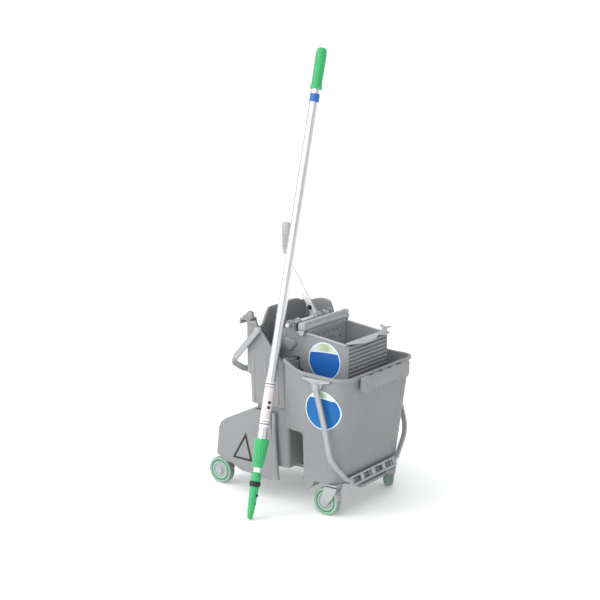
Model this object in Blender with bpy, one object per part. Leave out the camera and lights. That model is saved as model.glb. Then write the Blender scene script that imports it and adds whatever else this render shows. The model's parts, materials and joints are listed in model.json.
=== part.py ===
"""Two-bucket mopping trolley with a side-press wringer and a telescopic pole.

Millimetres in the design, metres in Blender.  +X points to the pouring lip,
-Y is the side where the pole leans, +Z is up.  The wheels and the pole's tip
stand on z = 0.
"""
import math

import bmesh
import bpy
from mathutils import Matrix, Vector

MM = 0.001
ORIGIN = Vector((-161.6, -53.1, 0.0))  # centre of the whole object's footprint
GAP = 0.3  # clearance between neighbouring pieces

# front bucket: an L-shaped tub, wide above and stepped in below
FRONT_BACK_X = -124.0
FRONT_LEG_X = -66.0
FRONT_HALF_TOP = 168.0
FRONT_HALF_LOW = 157.0
FRONT_FLOOR_Z = 90.0
FRONT_STEP_Z = 218.0
FRONT_RIM_Z = 380.0
FRONT_END_LOW_X = 43.0
FRONT_END_TOP_X = 78.0
WALL = 4.0
RIM_BEAD = 4.0
RIM_HEIGHT = 9.0

# rear bucket: taller, with a splash guard round its far back corner
REAR_BACK_X = -262.0
REAR_FRONT_X = -132.0
REAR_HALF_TOP = 140.0
REAR_HALF_LOW = 123.0
REAR_FLOOR_Z = 92.0
REAR_LEDGE_Z = 262.0
REAR_RIM_FRONT_Z = 393.0
REAR_RIM_BACK_Z = 488.0

# wheels
WHEEL_R = 37.5
TYRE_WIDTH = 22.0
HUB_R = 25.0
AXLE_R = 4.0
CASTER_Y = 135.0
CASTER_TRAIL = 22.0
CASTER_FAR_TURN = math.radians(-48.0)  # the far caster rests swivelled outwards
REAR_WHEEL_X = -381.0
REAR_WHEEL_Y = 94.0

# casing over the rear wheels
CASING_HALF = 132.0
CASING_WALL = 4.0

# wringer
WRING_BACK_X = -177.0
WRING_END_X = 29.0
WRING_HALF = 94.0
WRING_TOP_Z = 465.0
WRING_SLOPE_X = -87.0
WRING_END_Z = 450.0
WRING_LOW_Z = 338.0
WRING_STEP_X = -108.0
WRING_STEP_Z = 402.0

# press mechanism
SHAFT_X = -149.0
SHAFT_Z = 480.0
SHAFT_R = 6.0
SHAFT_HALF = 108.0
LEVER_Y = 26.0
LEVER_LEAN = math.radians(33.5)
LEVER_BEND = 176.0
LEVER_LENGTH = 275.0
CRANK_R = 62.0
BEAM_X = -105.0
BEAM_HALF = 106.0

# bails
BAIL_PIVOT = (-8.0, 352.0)
BAIL_ARM_Y = 179.0
REAR_PIVOT = (-213.0, 467.0)
REAR_ARM_Y = 151.0

# telescopic pole: from its tip on the floor to the end of its grip
POLE_TIP = Vector((-139.0, -287.0, 3.6))
POLE_TOP = Vector((-166.0, 75.0, 1184.6))
POLE_R = 12.0
INNER_R = 9.6

GREY = (0.33, 0.34, 0.35)
PALE_GREY = (0.42, 0.43, 0.44)
GREEN = (0.09, 0.50, 0.17)


def clear_scene():
    for obj in list(bpy.data.objects):
        bpy.data.objects.remove(obj, do_unlink=True)


def material(name, colour, rough=0.5, metal=0.0):
    mat = bpy.data.materials.get(name) or bpy.data.materials.new(name)
    mat.use_nodes = True
    shader = mat.node_tree.nodes["Principled BSDF"]
    shader.inputs["Base Color"].default_value = (*colour, 1.0)
    shader.inputs["Roughness"].default_value = rough
    shader.inputs["Metallic"].default_value = metal
    return mat


def place(point):
    """A design point in millimetres as a Blender point in metres."""
    return (Vector(point) - ORIGIN) * MM


def build_mesh(name, verts, faces, at):
    mesh = bpy.data.meshes.new(name)
    origin = place(at)
    mesh.from_pydata([place(v) - origin for v in verts], [], faces)
    bm = bmesh.new()
    bm.from_mesh(mesh)
    bmesh.ops.recalc_face_normals(bm, faces=bm.faces)
    bm.to_mesh(mesh)
    bm.free()
    return mesh, origin


def solid(name, shape, mat, at=(0, 0, 0), angle=40.0):
    """One closed piece; `at` is its origin, on its joint's axis if it moves."""
    mesh, origin = build_mesh(name, shape[0], shape[1], at)
    mesh.shade_smooth()
    mesh.set_sharp_from_angle(angle=math.radians(angle))
    mesh.materials.append(mat)
    obj = bpy.data.objects.new(name, mesh)
    obj.location = origin
    bpy.context.collection.objects.link(obj)
    return obj


def boolean(target, shape, operation):
    """Joins or cuts a second shape, which stays as a hidden wire guide."""
    count = len(target.modifiers)
    name = f"{target.name}_{operation.lower()}_{count}"
    mesh, origin = build_mesh(name, shape[0], shape[1], (0, 0, 0))
    guide = bpy.data.objects.new(name, mesh)
    guide.location = origin
    guide.hide_render = True
    guide.display_type = "WIRE"
    bpy.context.collection.objects.link(guide)
    modifier = target.modifiers.new(operation.title(), "BOOLEAN")
    modifier.operation = operation
    modifier.solver = "EXACT"
    modifier.object = guide


def cut(target, *shapes):
    for shape in shapes:
        boolean(target, shape, "DIFFERENCE")


def join(target, *shapes):
    for shape in shapes:
        boolean(target, shape, "UNION")


def loft(rings):
    """A closed skin through rings of equal length, with a cap on each end."""
    size = len(rings[0])
    verts = [point for ring in rings for point in ring]
    faces = [tuple(range(size))]
    for low in range(0, size * (len(rings) - 1), size):
        for i in range(size):
            j = (i + 1) % size
            faces.append((low + i, low + j, low + size + j, low + size + i))
    faces.append(tuple(range(len(verts) - size, len(verts))))
    return verts, faces


def ring_shape(rings):
    """A closed skin whose last ring meets its first, such as a tyre."""
    verts, faces = loft(rings + [rings[0]])
    size = len(rings[0])
    last = len(rings) * size
    wrapped = [tuple(i - last if i >= last else i for i in face) for face in faces[1:-1]]
    return verts[:last], wrapped


def prism(outline, axis, low, high):
    """An outline in the plane across an axis, drawn out from low to high.

    The outline's points are (x, z) for axis y, (y, z) for axis x and
    (x, y) for axis z.
    """
    order = {"x": (2, 0, 1), "y": (0, 2, 1), "z": (0, 1, 2)}[axis]

    def point(pair, depth):
        values = (pair[0], pair[1], depth)
        return Vector(values[order[i]] for i in range(3))

    return loft([[point(pair, depth) for pair in outline] for depth in (low, high)])


def box(low, high):
    outline = [(low[0], low[1]), (high[0], low[1]), (high[0], high[1]), (low[0], high[1])]
    return prism(outline, "z", low[2], high[2])


def rounded_box(low, high, radius, steps=3):
    outline = rounded_outline(low[0], high[0], low[1], high[1], (radius,) * 4, steps)
    return prism(outline, "z", low[2], high[2])


def rounded_outline(x0, x1, y0, y1, radii, steps=4, side_points=0):
    """A rectangle with its own radius at each corner, counter-clockwise.

    Corners go (x1, y0), (x1, y1), (x0, y1), (x0, y0); side_points adds points
    on every side.
    """
    corners = [(x1, y0, -90), (x1, y1, 0), (x0, y1, 90), (x0, y0, 180)]
    points = []
    for (x, y, start), radius in zip(corners, radii):
        cx = x - radius if x == x1 else x + radius
        cy = y + radius if y == y0 else y - radius
        for i in range(steps + 1):
            a = math.radians(start + 90 * i / steps)
            points.append((cx + radius * math.cos(a), cy + radius * math.sin(a)))
    if not side_points:
        return points
    full = []
    for i, point in enumerate(points):
        full.append(point)
        if i % (steps + 1) == steps:
            after = points[(i + 1) % len(points)]
            for k in range(1, side_points + 1):
                t = k / (side_points + 1)
                full.append((point[0] + (after[0] - point[0]) * t,
                             point[1] + (after[1] - point[1]) * t))
    return full


def axes_for(direction):
    direction = Vector(direction).normalized()
    side = direction.cross(Vector((0, 0, 1)))
    if side.length < 0.01:
        side = Vector((1, 0, 0))
    side.normalize()
    return direction, side, side.cross(direction)


def circle(centre, direction, radius, sides, turn=0.0):
    _, side, up = axes_for(direction)
    return [Vector(centre) + radius * (math.cos(a) * side + math.sin(a) * up)
            for a in (turn + 2 * math.pi * i / sides for i in range(sides))]


def turned(start, direction, profile, sides=20):
    """A solid of revolution through (distance along the axis, radius)."""
    axis = Vector(direction).normalized()
    return loft([circle(Vector(start) + axis * along, axis, radius, sides)
                 for along, radius in profile])


def turned_ring(start, direction, profile, sides=24):
    """A ring of revolution: its profile closes on itself and has a bore."""
    axis = Vector(direction).normalized()
    return ring_shape([circle(Vector(start) + axis * along, axis, radius, sides)
                       for along, radius in profile])


def rod(start, end, radius, sides=16):
    direction = Vector(end) - Vector(start)
    return turned(start, direction, [(0, radius), (direction.length, radius)], sides)


def swept_bar(path, width, thickness, across):
    """An eight-sided bar along a path; `across` is the direction of its width."""
    rings = []
    for i, point in enumerate(path):
        before = Vector(path[max(i - 1, 0)])
        after = Vector(path[min(i + 1, len(path) - 1)])
        here = Vector(point)
        tangent_in = (here - before).normalized() if i else (after - here).normalized()
        tangent_out = (after - here).normalized() if i < len(path) - 1 else tangent_in
        tangent = (tangent_in + tangent_out).normalized()
        stretch = 1.0 / max(tangent.dot(tangent_in), 0.5)
        side = (Vector(across) - tangent * tangent.dot(Vector(across))).normalized()
        normal = tangent.cross(side)
        w, t, c = width / 2 * stretch, thickness / 2 * stretch, 0.3
        section = [(w, t * (1 - c)), (w * (1 - c), t), (-w * (1 - c), t), (-w, t * (1 - c)),
                   (-w, -t * (1 - c)), (-w * (1 - c), -t), (w * (1 - c), -t), (w, -t * (1 - c))]
        rings.append([here + side * a + normal * b for a, b in section])
    return loft(rings)


# ---------------------------------------------------------------- buckets

def front_end_x(z):
    """The pouring end leans out as it rises."""
    share = (z - FRONT_FLOOR_Z) / (FRONT_RIM_Z - FRONT_FLOOR_Z)
    return FRONT_END_LOW_X + share * (FRONT_END_TOP_X - FRONT_END_LOW_X)


def front_ring(z, back_x, half, grow=0.0, corner=None):
    share = (z - FRONT_FLOOR_Z) / (FRONT_RIM_Z - FRONT_FLOOR_Z)
    radius = corner or 72.0 - 34.0 * share
    outline = rounded_outline(back_x - grow, front_end_x(z) + grow, -half - grow, half + grow,
                              (radius + grow, radius + grow, 9.0, 9.0), 5, 7)
    return [Vector((x, y, z)) for x, y in outline]


def front_rim_lift(ring):
    """The rim climbs a little towards the rear bucket, and more at its two back corners."""
    for point in ring:
        share = max(0.0, (FRONT_END_TOP_X - 60.0 - point.x) / 140.0)
        near_back = min(max((-72.0 - point.x) / 46.0, 0.0), 1.0)
        near_side = min(max((abs(point.y) - 104.0) / 40.0, 0.0), 1.0)
        point.z += 8.0 * min(share, 1.0) + 18.0 * near_back * near_side
    return ring


def front_half(z):
    share = (z - FRONT_FLOOR_Z) / (FRONT_RIM_Z - FRONT_FLOOR_Z)
    return FRONT_HALF_LOW + share * (FRONT_HALF_TOP - FRONT_HALF_LOW)


def make_front_bucket(plastic):
    step_out = FRONT_STEP_Z - 6.0
    under_rim = FRONT_RIM_Z - RIM_HEIGHT
    rings = [
        front_ring(FRONT_FLOOR_Z, FRONT_LEG_X, front_half(FRONT_FLOOR_Z)),
        front_ring(step_out, FRONT_LEG_X, front_half(step_out)),
        front_ring(FRONT_STEP_Z, FRONT_BACK_X, front_half(FRONT_STEP_Z)),
        front_rim_lift(front_ring(under_rim, FRONT_BACK_X, front_half(under_rim))),
        front_rim_lift(front_ring(under_rim + 1, FRONT_BACK_X, front_half(under_rim), RIM_BEAD)),
        front_rim_lift(front_ring(FRONT_RIM_Z, FRONT_BACK_X, front_half(under_rim), RIM_BEAD)),
        front_rim_lift(front_ring(FRONT_RIM_Z, FRONT_BACK_X, front_half(under_rim), -WALL)),
        front_ring(FRONT_STEP_Z + WALL, FRONT_BACK_X, front_half(FRONT_STEP_Z), -WALL),
        front_ring(step_out + WALL, FRONT_LEG_X, front_half(step_out), -WALL),
        front_ring(FRONT_FLOOR_Z + WALL, FRONT_LEG_X, front_half(FRONT_FLOOR_Z), -WALL),
    ]
    return solid("front_bucket", loft(rings), plastic)


def make_pour_lip(plastic):
    """The deep lip that hangs over the pouring end, notched along its foot."""
    back = FRONT_END_TOP_X + RIM_BEAD + GAP
    front = back + 13.0
    top, foot = 376.0, 334.0
    outline = rounded_outline(back, front, -108.0, 112.0, (5.0, 5.0, 0.1, 0.1), 2)
    lip = solid("pour_lip", prism(outline, "z", foot, top), plastic)
    notches = 7
    pitch = 22.0
    for i in range(notches):
        y = (i - (notches - 1) / 2) * pitch
        cut(lip, box((back - 5, y - 4.0, foot - 5), (front + 5, y + 4.0, foot + 5.0)))
    for y in (-66.0, -22.0, 22.0, 66.0):
        cut(lip, box((back + 3, y - 9.0, top - 9.0), (front - 3, y + 9.0, top + 5)))
    return lip


def rear_rim_z(x, y):
    """Height of the rear bucket's rim, which carries the splash guard."""
    share = (REAR_FRONT_X - 8.0 - x) / 96.0
    side = REAR_RIM_FRONT_Z + (REAR_RIM_BACK_Z - REAR_RIM_FRONT_Z) * min(max(share, 0.0), 1.0)
    guard = 494.0
    if y > 110.0:
        fall = min(max((x + 186.0) / 44.0, 0.0), 1.0)
        return guard - fall * (guard - side) if x > -186.0 else guard
    if x < REAR_BACK_X + 40.0 and y > -90.0:
        if y < -70.0:
            return 458.0
        if y < -34.0:
            return 458.0 + (508.0 - 458.0) * (y + 70.0) / 36.0
        return 508.0 - 14.0 * (y + 34.0) / 150.0
    return side


def rear_ring(z, back_x, half, grow=0.0, follow_rim=None):
    outline = rounded_outline(back_x - grow, REAR_FRONT_X + grow, -half - grow, half + grow,
                              (6.0, 6.0, 16.0 + grow, 12.0 + grow), 3, 7)
    ring = [Vector((x, y, z)) for x, y in outline]
    if follow_rim is not None:
        for point in ring:
            point.z = rear_rim_z(point.x, point.y) + follow_rim
    return ring


def make_rear_bucket(plastic):
    ledge_low = REAR_LEDGE_Z - 3.0
    shoulder = 341.0
    rings = [
        rear_ring(REAR_FLOOR_Z, REAR_BACK_X + 24, REAR_HALF_LOW - 3),
        rear_ring(ledge_low, REAR_BACK_X + 22, REAR_HALF_LOW + 1),
        rear_ring(REAR_LEDGE_Z, REAR_BACK_X + 12, REAR_HALF_TOP - 4),
        rear_ring(shoulder, REAR_BACK_X + 10, REAR_HALF_TOP - 2),
        rear_ring(shoulder + 3, REAR_BACK_X, REAR_HALF_TOP - 2),
        rear_ring(0, REAR_BACK_X, REAR_HALF_TOP, 0, -9.0),
        rear_ring(0, REAR_BACK_X, REAR_HALF_TOP, 3.0, -8.0),
        rear_ring(0, REAR_BACK_X, REAR_HALF_TOP, 3.0, 0.0),
        rear_ring(0, REAR_BACK_X, REAR_HALF_TOP, -WALL, 0.0),
        rear_ring(shoulder + 6, REAR_BACK_X, REAR_HALF_TOP - 2, -WALL),
        rear_ring(shoulder + 3, REAR_BACK_X + 10, REAR_HALF_TOP - 2, -WALL),
        rear_ring(REAR_LEDGE_Z + WALL, REAR_BACK_X + 12, REAR_HALF_TOP - 4, -WALL),
        rear_ring(ledge_low + WALL, REAR_BACK_X + 22, REAR_HALF_LOW + 1, -WALL),
        rear_ring(REAR_FLOOR_Z + WALL, REAR_BACK_X + 24, REAR_HALF_LOW - 3, -WALL),
    ]
    return solid("rear_bucket", loft(rings), plastic)


def make_corner_hook(plastic):
    """The bracket on the near back corner, a flat lip with an upright fin."""
    z = REAR_RIM_BACK_Z + GAP
    hook = solid("corner_hook", box((-276, -146, z), (-240, -118, z + 5)), plastic)
    join(hook, prism([(-258, z + 3), (-240, z + 3), (-240, z + 26), (-252, z + 30)],
                     "y", -140, -134))
    join(hook, box((-276, -146, z - 12), (-271, -118, z + 3)))
    return hook


# ---------------------------------------------------------------- chassis

def casing_profile():
    """Side outline of the rear casing, from its nose round to its column."""
    return [(-368, 97), (-345, 88), (-309, 76), (-286, 64), (-250, 61), (-216, 56),
            (-184, 56), (-167, 62), (-170, 74), (-175, 90), (-179, 150), (-184, 202),
            (-186, 244), (-236, 244), (-300, 218), (-334, 203), (-352, 190), (-360, 174)]


def make_rear_casing(plastic):
    profile = casing_profile()
    casing = solid("rear_casing", prism(profile, "y", -CASING_HALF, CASING_HALF), plastic)
    inner = [(-364, 40), (-160, 40), (-160, 300), (-246, 300), (-246, 236), (-300, 212),
             (-332, 198), (-348, 186), (-356, 172)]
    half = CASING_HALF - CASING_WALL
    cut(casing, prism(inner, "y", -half, half))
    # a waist on each flank ties the shell's two sides together under the bucket
    join(casing, box((-345, -half - 2, 79), (-300, half + 2, 89)))
    return casing


def make_base_deck(plastic):
    end = FRONT_LEG_X - 2 * GAP
    return solid("base_deck", box((-299, -55, 79), (end, 55, 89.5)), plastic)


def make_skirts(plastic):
    x = FRONT_LEG_X
    wedge = [(x, 89.6), (x + 1, 82), (x + 18, 69), (x + 26, 70), (x + 39, 89.6)]
    solid("skirt_beam", prism(wedge, "y", -156, 156), plastic)
    keel = [(-12, 89.6), (-4, 66), (8, 58), (34, 58), (41, 66), (41, 89.6)]
    solid("front_keel", prism(keel, "y", -58, 58), plastic)


def make_rear_axle(steel, plastic):
    reach = REAR_WHEEL_Y + TYRE_WIDTH / 2 + 2
    start = (REAR_WHEEL_X, -reach, WHEEL_R)
    solid("rear_axle", turned(start, (0, 1, 0), [
        (0, 7), (2 - GAP, 7), (2 - GAP, AXLE_R), (2 * reach - 2 + GAP, AXLE_R),
        (2 * reach - 2 + GAP, 7), (2 * reach, 7)], 16), steel)
    outline = [(-358, 94), (-394, 42), (-390, 28), (-376, 24), (-362, 30), (-346, 78),
               (-346, 94)]
    frame = solid("axle_frame", prism(outline, "y", -76, -66), plastic)
    join(frame, prism(outline, "y", 66, 76))
    join(frame, box((-357, -70, 66), (-347, 70, 78)))
    cut(frame, rod((REAR_WHEEL_X, -90, WHEEL_R), (REAR_WHEEL_X, 90, WHEEL_R),
                   AXLE_R + GAP, 16))
    return frame


# ---------------------------------------------------------------- wheels

def make_wheel(name, centre, rubber, hub_plastic, turn=0.0):
    """A tyre on a dished hub, both turned about the wheel's axle."""
    half = TYRE_WIDTH / 2
    axle = Matrix.Rotation(turn, 3, "Z") @ Vector((0, 1, 0))
    start = Vector(centre) - axle * half
    tyre = [(1.5, HUB_R + GAP), (0, 31), (1.0, 35.5), (4, WHEEL_R), (18, WHEEL_R),
            (21, 35.5), (22, 31), (20.5, HUB_R + GAP)]
    hub = [(2, AXLE_R + GAP), (2, 9), (5, 11), (5, 21), (2.5, 23), (2.5, HUB_R),
           (19.5, HUB_R), (19.5, 23), (17, 21), (17, 11), (20, 9), (20, AXLE_R + GAP)]
    solid(name + "_tyre", turned_ring(start, axle, tyre, 32), rubber, centre)
    solid(name + "_hub", turned_ring(start, axle, hub, 24), hub_plastic, centre)


def swivelled(shape, pivot, turn):
    """A shape turned about the upright line through pivot."""
    there = Matrix.Translation(pivot)
    move = there @ Matrix.Rotation(turn, 4, "Z") @ there.inverted()
    return [move @ Vector(point) for point in shape[0]], shape[1]


def make_caster(side, y, turn, rubber, hub_plastic, bracket, steel):
    """A swivel caster: its wheel trails behind the upright swivel axis."""
    pivot = Vector((CASTER_TRAIL, y, 80.0))
    trail = Matrix.Rotation(turn, 3, "Z") @ Vector((-CASTER_TRAIL, 0, WHEEL_R - pivot.z))
    wheel = pivot + trail
    make_wheel("caster_" + side, wheel, rubber, hub_plastic, turn)

    def at_rest(shape):
        return swivelled(shape, pivot, turn)

    cheek = [(-9, 33), (-4, 28), (4, 28), (10, 34), (34, 70), (38, 81), (2, 81), (-10, 44)]
    inner, outer = 12.5, 16.0
    fork = solid("caster_" + side + "_fork",
                 at_rest(prism(cheek, "y", y - outer, y - inner)), bracket, pivot)
    join(fork, at_rest(prism(cheek, "y", y + inner, y + outer)))
    join(fork, at_rest(rounded_box((3, y - outer, 77.5), (39, y + outer, 81), 6)))
    cut(fork, at_rest(rod((0, y - 20, WHEEL_R), (0, y + 20, WHEEL_R), AXLE_R + GAP)))
    reach = outer + 2
    head, shank = 6.5, AXLE_R
    solid("caster_" + side + "_axle", at_rest(turned((0, y - reach, WHEEL_R), (0, 1, 0), [
        (0, head), (reach - outer - GAP, head), (reach - outer - GAP, shank),
        (reach + outer + GAP, shank), (reach + outer + GAP, head), (2 * reach, head)])),
        steel, wheel)
    plate = solid("caster_" + side + "_plate",
                  rounded_box((1, y - 21, 86), (43, y + 21, 89.6), 5), bracket)
    join(plate, turned((CASTER_TRAIL, y, 81 + GAP), (0, 0, 1),
                       [(0, 13), (2, 15), (5.5, 15)], 20))


# ---------------------------------------------------------------- bails

def make_front_bail(plastic):
    x, z = BAIL_PIVOT
    half = [(x, -BAIL_ARM_Y, z), (x + 3, -BAIL_ARM_Y, z - 14), (20, -181, 255),
            (39, -184, 174), (44, -178, 158), (52, -124, 101), (53, -106, 93)]
    path = half + [(px, -py, pz) for px, py, pz in reversed(half)]
    bail = solid("front_bail", swept_bar(path, 13, 7, (0.97, 0, 0.25)), plastic,
                 (x, 0, z))
    # the grip is a wide ladder between the two arms
    grip = [Vector((54, -104, 91)), Vector((54, 104, 91))]
    join(bail, swept_bar(grip, 26, 9, (0.30, 0, -0.95)))
    for y in (-78, -26, 26, 78):
        cut(bail, prism(rounded_outline(y - 20, y + 20, 85.5, 96.5, (5,) * 4, 3), "x", 30, 80))
    for sign in (-1, 1):
        join(bail, rod((x, sign * (BAIL_ARM_Y - 3.4), z), (x, sign * (BAIL_ARM_Y + 4), z), 10))
        cut(bail, rod((x, sign * 160, z), (x, sign * 200, z), 4.0 + GAP))
    return bail


def make_bail_ears(plastic):
    """The gussets under the rim that hold the front bail's pins."""
    x, z = BAIL_PIVOT
    wall = front_half(FRONT_RIM_Z) + GAP
    face = BAIL_ARM_Y - 3.4 - GAP
    for side, sign in (("near", -1), ("far", 1)):
        outline = [(x - 9, z - 10), (x + 9, z - 10), (x + 13, z + 4), (x + 34, z + 17),
                   (x - 46, z + 18), (x - 15, z + 4)]
        low, high = sorted((sign * wall, sign * face))
        ear = solid("bail_ear_" + side, prism(outline, "y", low, high), plastic)
        tip = sign * (BAIL_ARM_Y + 6)
        join(ear, rod((x, sign * (face - 1), z), (x, tip, z), 4.0, 12))
        join(ear, rod((x, sign * (BAIL_ARM_Y + 4 + GAP), z), (x, tip, z), 7.0, 12))


def make_rear_bail(plastic):
    x, z = REAR_PIVOT
    half = [(x, -REAR_ARM_Y, z), (x - 10, -REAR_ARM_Y, z - 12), (-252, -REAR_ARM_Y, 423),
            (-290, -REAR_ARM_Y, 380), (-294, -146, 368), (-291, -112, 346), (-290, -98, 340)]
    path = half + [(px, -py, pz) for px, py, pz in reversed(half)]
    bail = solid("rear_bail", swept_bar(path, 12, 7, (0.5, 0, 0.86)), plastic, (x, 0, z))
    join(bail, swept_bar([(-290, -92, 340), (-290, 92, 340)], 20, 10, (0, 0, 1)))
    for sign in (-1, 1):
        inner = REAR_HALF_TOP + 3 + GAP
        low, high = sorted((sign * inner, sign * (REAR_ARM_Y + 4)))
        join(bail, rod((x, low, z), (x, high, z), 8))
    return bail


# ---------------------------------------------------------------- wringer

def wringer_top(x):
    share = min(max((x - WRING_SLOPE_X) / (WRING_END_X - WRING_SLOPE_X), 0.0), 1.0)
    return WRING_TOP_Z + share * (WRING_END_Z - WRING_TOP_Z)


def make_wringer_housing(plastic):
    """An open box: a deep basket at the pouring end, a shallow gear bay behind."""
    side = [(WRING_BACK_X, WRING_STEP_Z), (WRING_STEP_X - 8, WRING_STEP_Z - 4),
            (WRING_STEP_X, WRING_LOW_Z + 30), (WRING_STEP_X + 12, WRING_LOW_Z),
            (WRING_END_X - 12, WRING_LOW_Z), (WRING_END_X, WRING_LOW_Z + 10),
            (WRING_END_X, WRING_END_Z), (WRING_SLOPE_X, WRING_TOP_Z),
            (WRING_BACK_X, WRING_TOP_Z)]
    housing = solid("wringer_housing", prism(side, "y", -WRING_HALF, WRING_HALF), plastic)
    wall = 4.0
    inner = [(WRING_BACK_X + wall, WRING_STEP_Z + wall),
             (WRING_STEP_X - 5, WRING_STEP_Z),
             (WRING_STEP_X + wall, WRING_LOW_Z + 32),
             (WRING_STEP_X + 14, WRING_LOW_Z + wall),
             (WRING_END_X - 13, WRING_LOW_Z + wall),
             (WRING_END_X - wall, WRING_LOW_Z + 13),
             (WRING_END_X - wall, WRING_TOP_Z + 40), (WRING_BACK_X + wall, WRING_TOP_Z + 40)]
    half = WRING_HALF - wall
    cut(housing, prism(inner, "y", -half, half))
    for y in (-66, -22, 22, 66):
        cut(housing, box((-78, y - 7, WRING_LOW_Z - 5), (4, y + 7, WRING_LOW_Z + 9)))
    # upright ears carry the shaft above the side walls
    for sign in (-1, 1):
        low, high = sorted((sign * WRING_HALF, sign * (WRING_HALF - 8)))
        ear = [(SHAFT_X - 20, WRING_TOP_Z - 16), (SHAFT_X + 20, WRING_TOP_Z - 16),
               (SHAFT_X + 12, SHAFT_Z + 8), (SHAFT_X + 5, SHAFT_Z + 12),
               (SHAFT_X - 5, SHAFT_Z + 12), (SHAFT_X - 12, SHAFT_Z + 8)]
        join(housing, prism(ear, "y", low, high))
    cut(housing, rod((SHAFT_X, -120, SHAFT_Z), (SHAFT_X, 120, SHAFT_Z), SHAFT_R + GAP, 20))
    return housing


def make_louvres(plastic):
    """The ribbed plate on the wringer's pouring end."""
    back = WRING_END_X + GAP
    top, foot = WRING_END_Z - 8, 352.0
    plate = solid("wringer_louvres",
                  box((back, -WRING_HALF + 1, foot), (back + 7, WRING_HALF - 1, top)), plastic)
    pitch = 9.5
    count = int((top - foot) / pitch)
    for i in range(count):
        z = foot + 5 + i * pitch
        groove = [(back + 4, z), (back + 12, z - 1.2), (back + 12, z + 4.2)]
        cut(plate, prism(groove, "y", -WRING_HALF - 5, WRING_HALF + 5))
    return plate


def make_flap(plastic):
    """The curved leaf over the louvres that guides water back inside."""
    x = WRING_END_X
    z = WRING_END_Z + 1.1
    outline = [(x + 1, -90), (x + 8, -86), (x + 13, -60), (x + 15, -20), (x + 15, 30),
               (x + 13, 70), (x + 11, 90), (x - 3.5, 90), (x - 3.5, -90)]
    flap = solid("wringer_flap", prism(outline, "z", z, z + 3.5), plastic)
    join(flap, box((x - 2, 78, z + 2), (x + 10, 88, z + 15)))
    join(flap, box((x - 9, 76, z + 13), (x + 21, 90, z + 17.5)))
    return flap


def make_bosses(plastic):
    """Rounded three-sided covers over the wringer's side fixings."""
    for side, sign in (("near", -1), ("far", 1)):
        outline = []
        for corner in range(3):
            centre = math.radians(20 + 120 * corner)
            cx, cz = -146 + 13 * math.cos(centre), 431 + 13 * math.sin(centre)
            for k in (-1, 0, 1):
                a = centre + math.radians(50 * k)
                outline.append((cx + 9 * math.cos(a), cz + 9 * math.sin(a)))
        low, high = sorted((sign * (WRING_HALF + GAP), sign * (WRING_HALF + 9)))
        solid("wringer_boss_" + side, prism(outline, "y", low, high), plastic)


def make_rails(plastic):
    """Two cross rails inside the front bucket that the wringer's floor rests on."""
    top = WRING_LOW_Z - GAP
    reach = front_half(top - 7) - WALL - 1.2
    for end, x in (("rear", -80.0), ("front", 0.0)):
        solid("wringer_rail_" + end, box((x - 8, -reach, top - 7), (x + 8, reach, top)),
              plastic)


# ---------------------------------------------------------------- press

def along_lever(distance):
    """A point on the lever's centre line: it leans back, then stands up at the bend."""
    leaning = min(distance, LEVER_BEND)
    return Vector((SHAFT_X - leaning * math.sin(LEVER_LEAN), LEVER_Y,
                   SHAFT_Z + leaning * math.cos(LEVER_LEAN) + distance - leaning))


def lever_bar(start, end, width, thickness):
    across = (math.cos(LEVER_LEAN), 0, math.sin(LEVER_LEAN))
    stops = [start] + [d for d in (LEVER_BEND - 7, LEVER_BEND + 7) if start < d < end] + [end]
    return swept_bar([along_lever(d) for d in stops], width, thickness, across)


def make_lever(steel, plastic, zinc, dark):
    pivot = (SHAFT_X, 0, SHAFT_Z)
    y0 = LEVER_Y
    shaft = rod((SHAFT_X, -SHAFT_HALF, SHAFT_Z), (SHAFT_X, SHAFT_HALF, SHAFT_Z), SHAFT_R, 20)
    solid("press_shaft", shaft, steel, pivot)
    clamp = solid("lever_clamp", rod((SHAFT_X, y0 - 14, SHAFT_Z), (SHAFT_X, y0 + 14, SHAFT_Z),
                                     13, 20), zinc, pivot)
    join(clamp, lever_bar(6, 40, 21, 13))
    cut(clamp, rod((SHAFT_X, y0 - 20, SHAFT_Z), (SHAFT_X, y0 + 20, SHAFT_Z),
                   SHAFT_R + GAP, 20))
    cut(clamp, lever_bar(17, 60, 17 + 2 * GAP, 5 + 2 * GAP))
    solid("lever_arm", lever_bar(17.5, LEVER_LENGTH - 70, 17, 5), steel, pivot)
    bolt = along_lever(29)
    head, shank = 5.5, 3.0
    bolt_shape = turned(bolt - Vector((0, 10.5, 0)), (0, 1, 0),
                        [(0, head), (4 - GAP, head), (4 - GAP, shank), (17 + GAP, shank),
                         (17 + GAP, head), (21, head)], 12)
    solid("lever_bolt", bolt_shape, dark, pivot)
    hole = rod(bolt - Vector((0, 20, 0)), bolt + Vector((0, 20, 0)), shank + GAP, 12)
    cut(bpy.data.objects["lever_clamp"], hole)
    cut(bpy.data.objects["lever_arm"], hole)
    grip_start = LEVER_LENGTH - 84
    direction = Vector((0, 0, 1))
    grip = solid("lever_grip", turned(along_lever(grip_start), direction, [
        (0, 9), (5, 11.5), (40, 12.5), (70, 14), (80, 13.5), (86, 9)], 18), plastic, pivot)
    cut(grip, lever_bar(grip_start - 5, LEVER_LENGTH - 69, 17 + 2 * GAP, 5 + 2 * GAP))
    return grip


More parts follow.
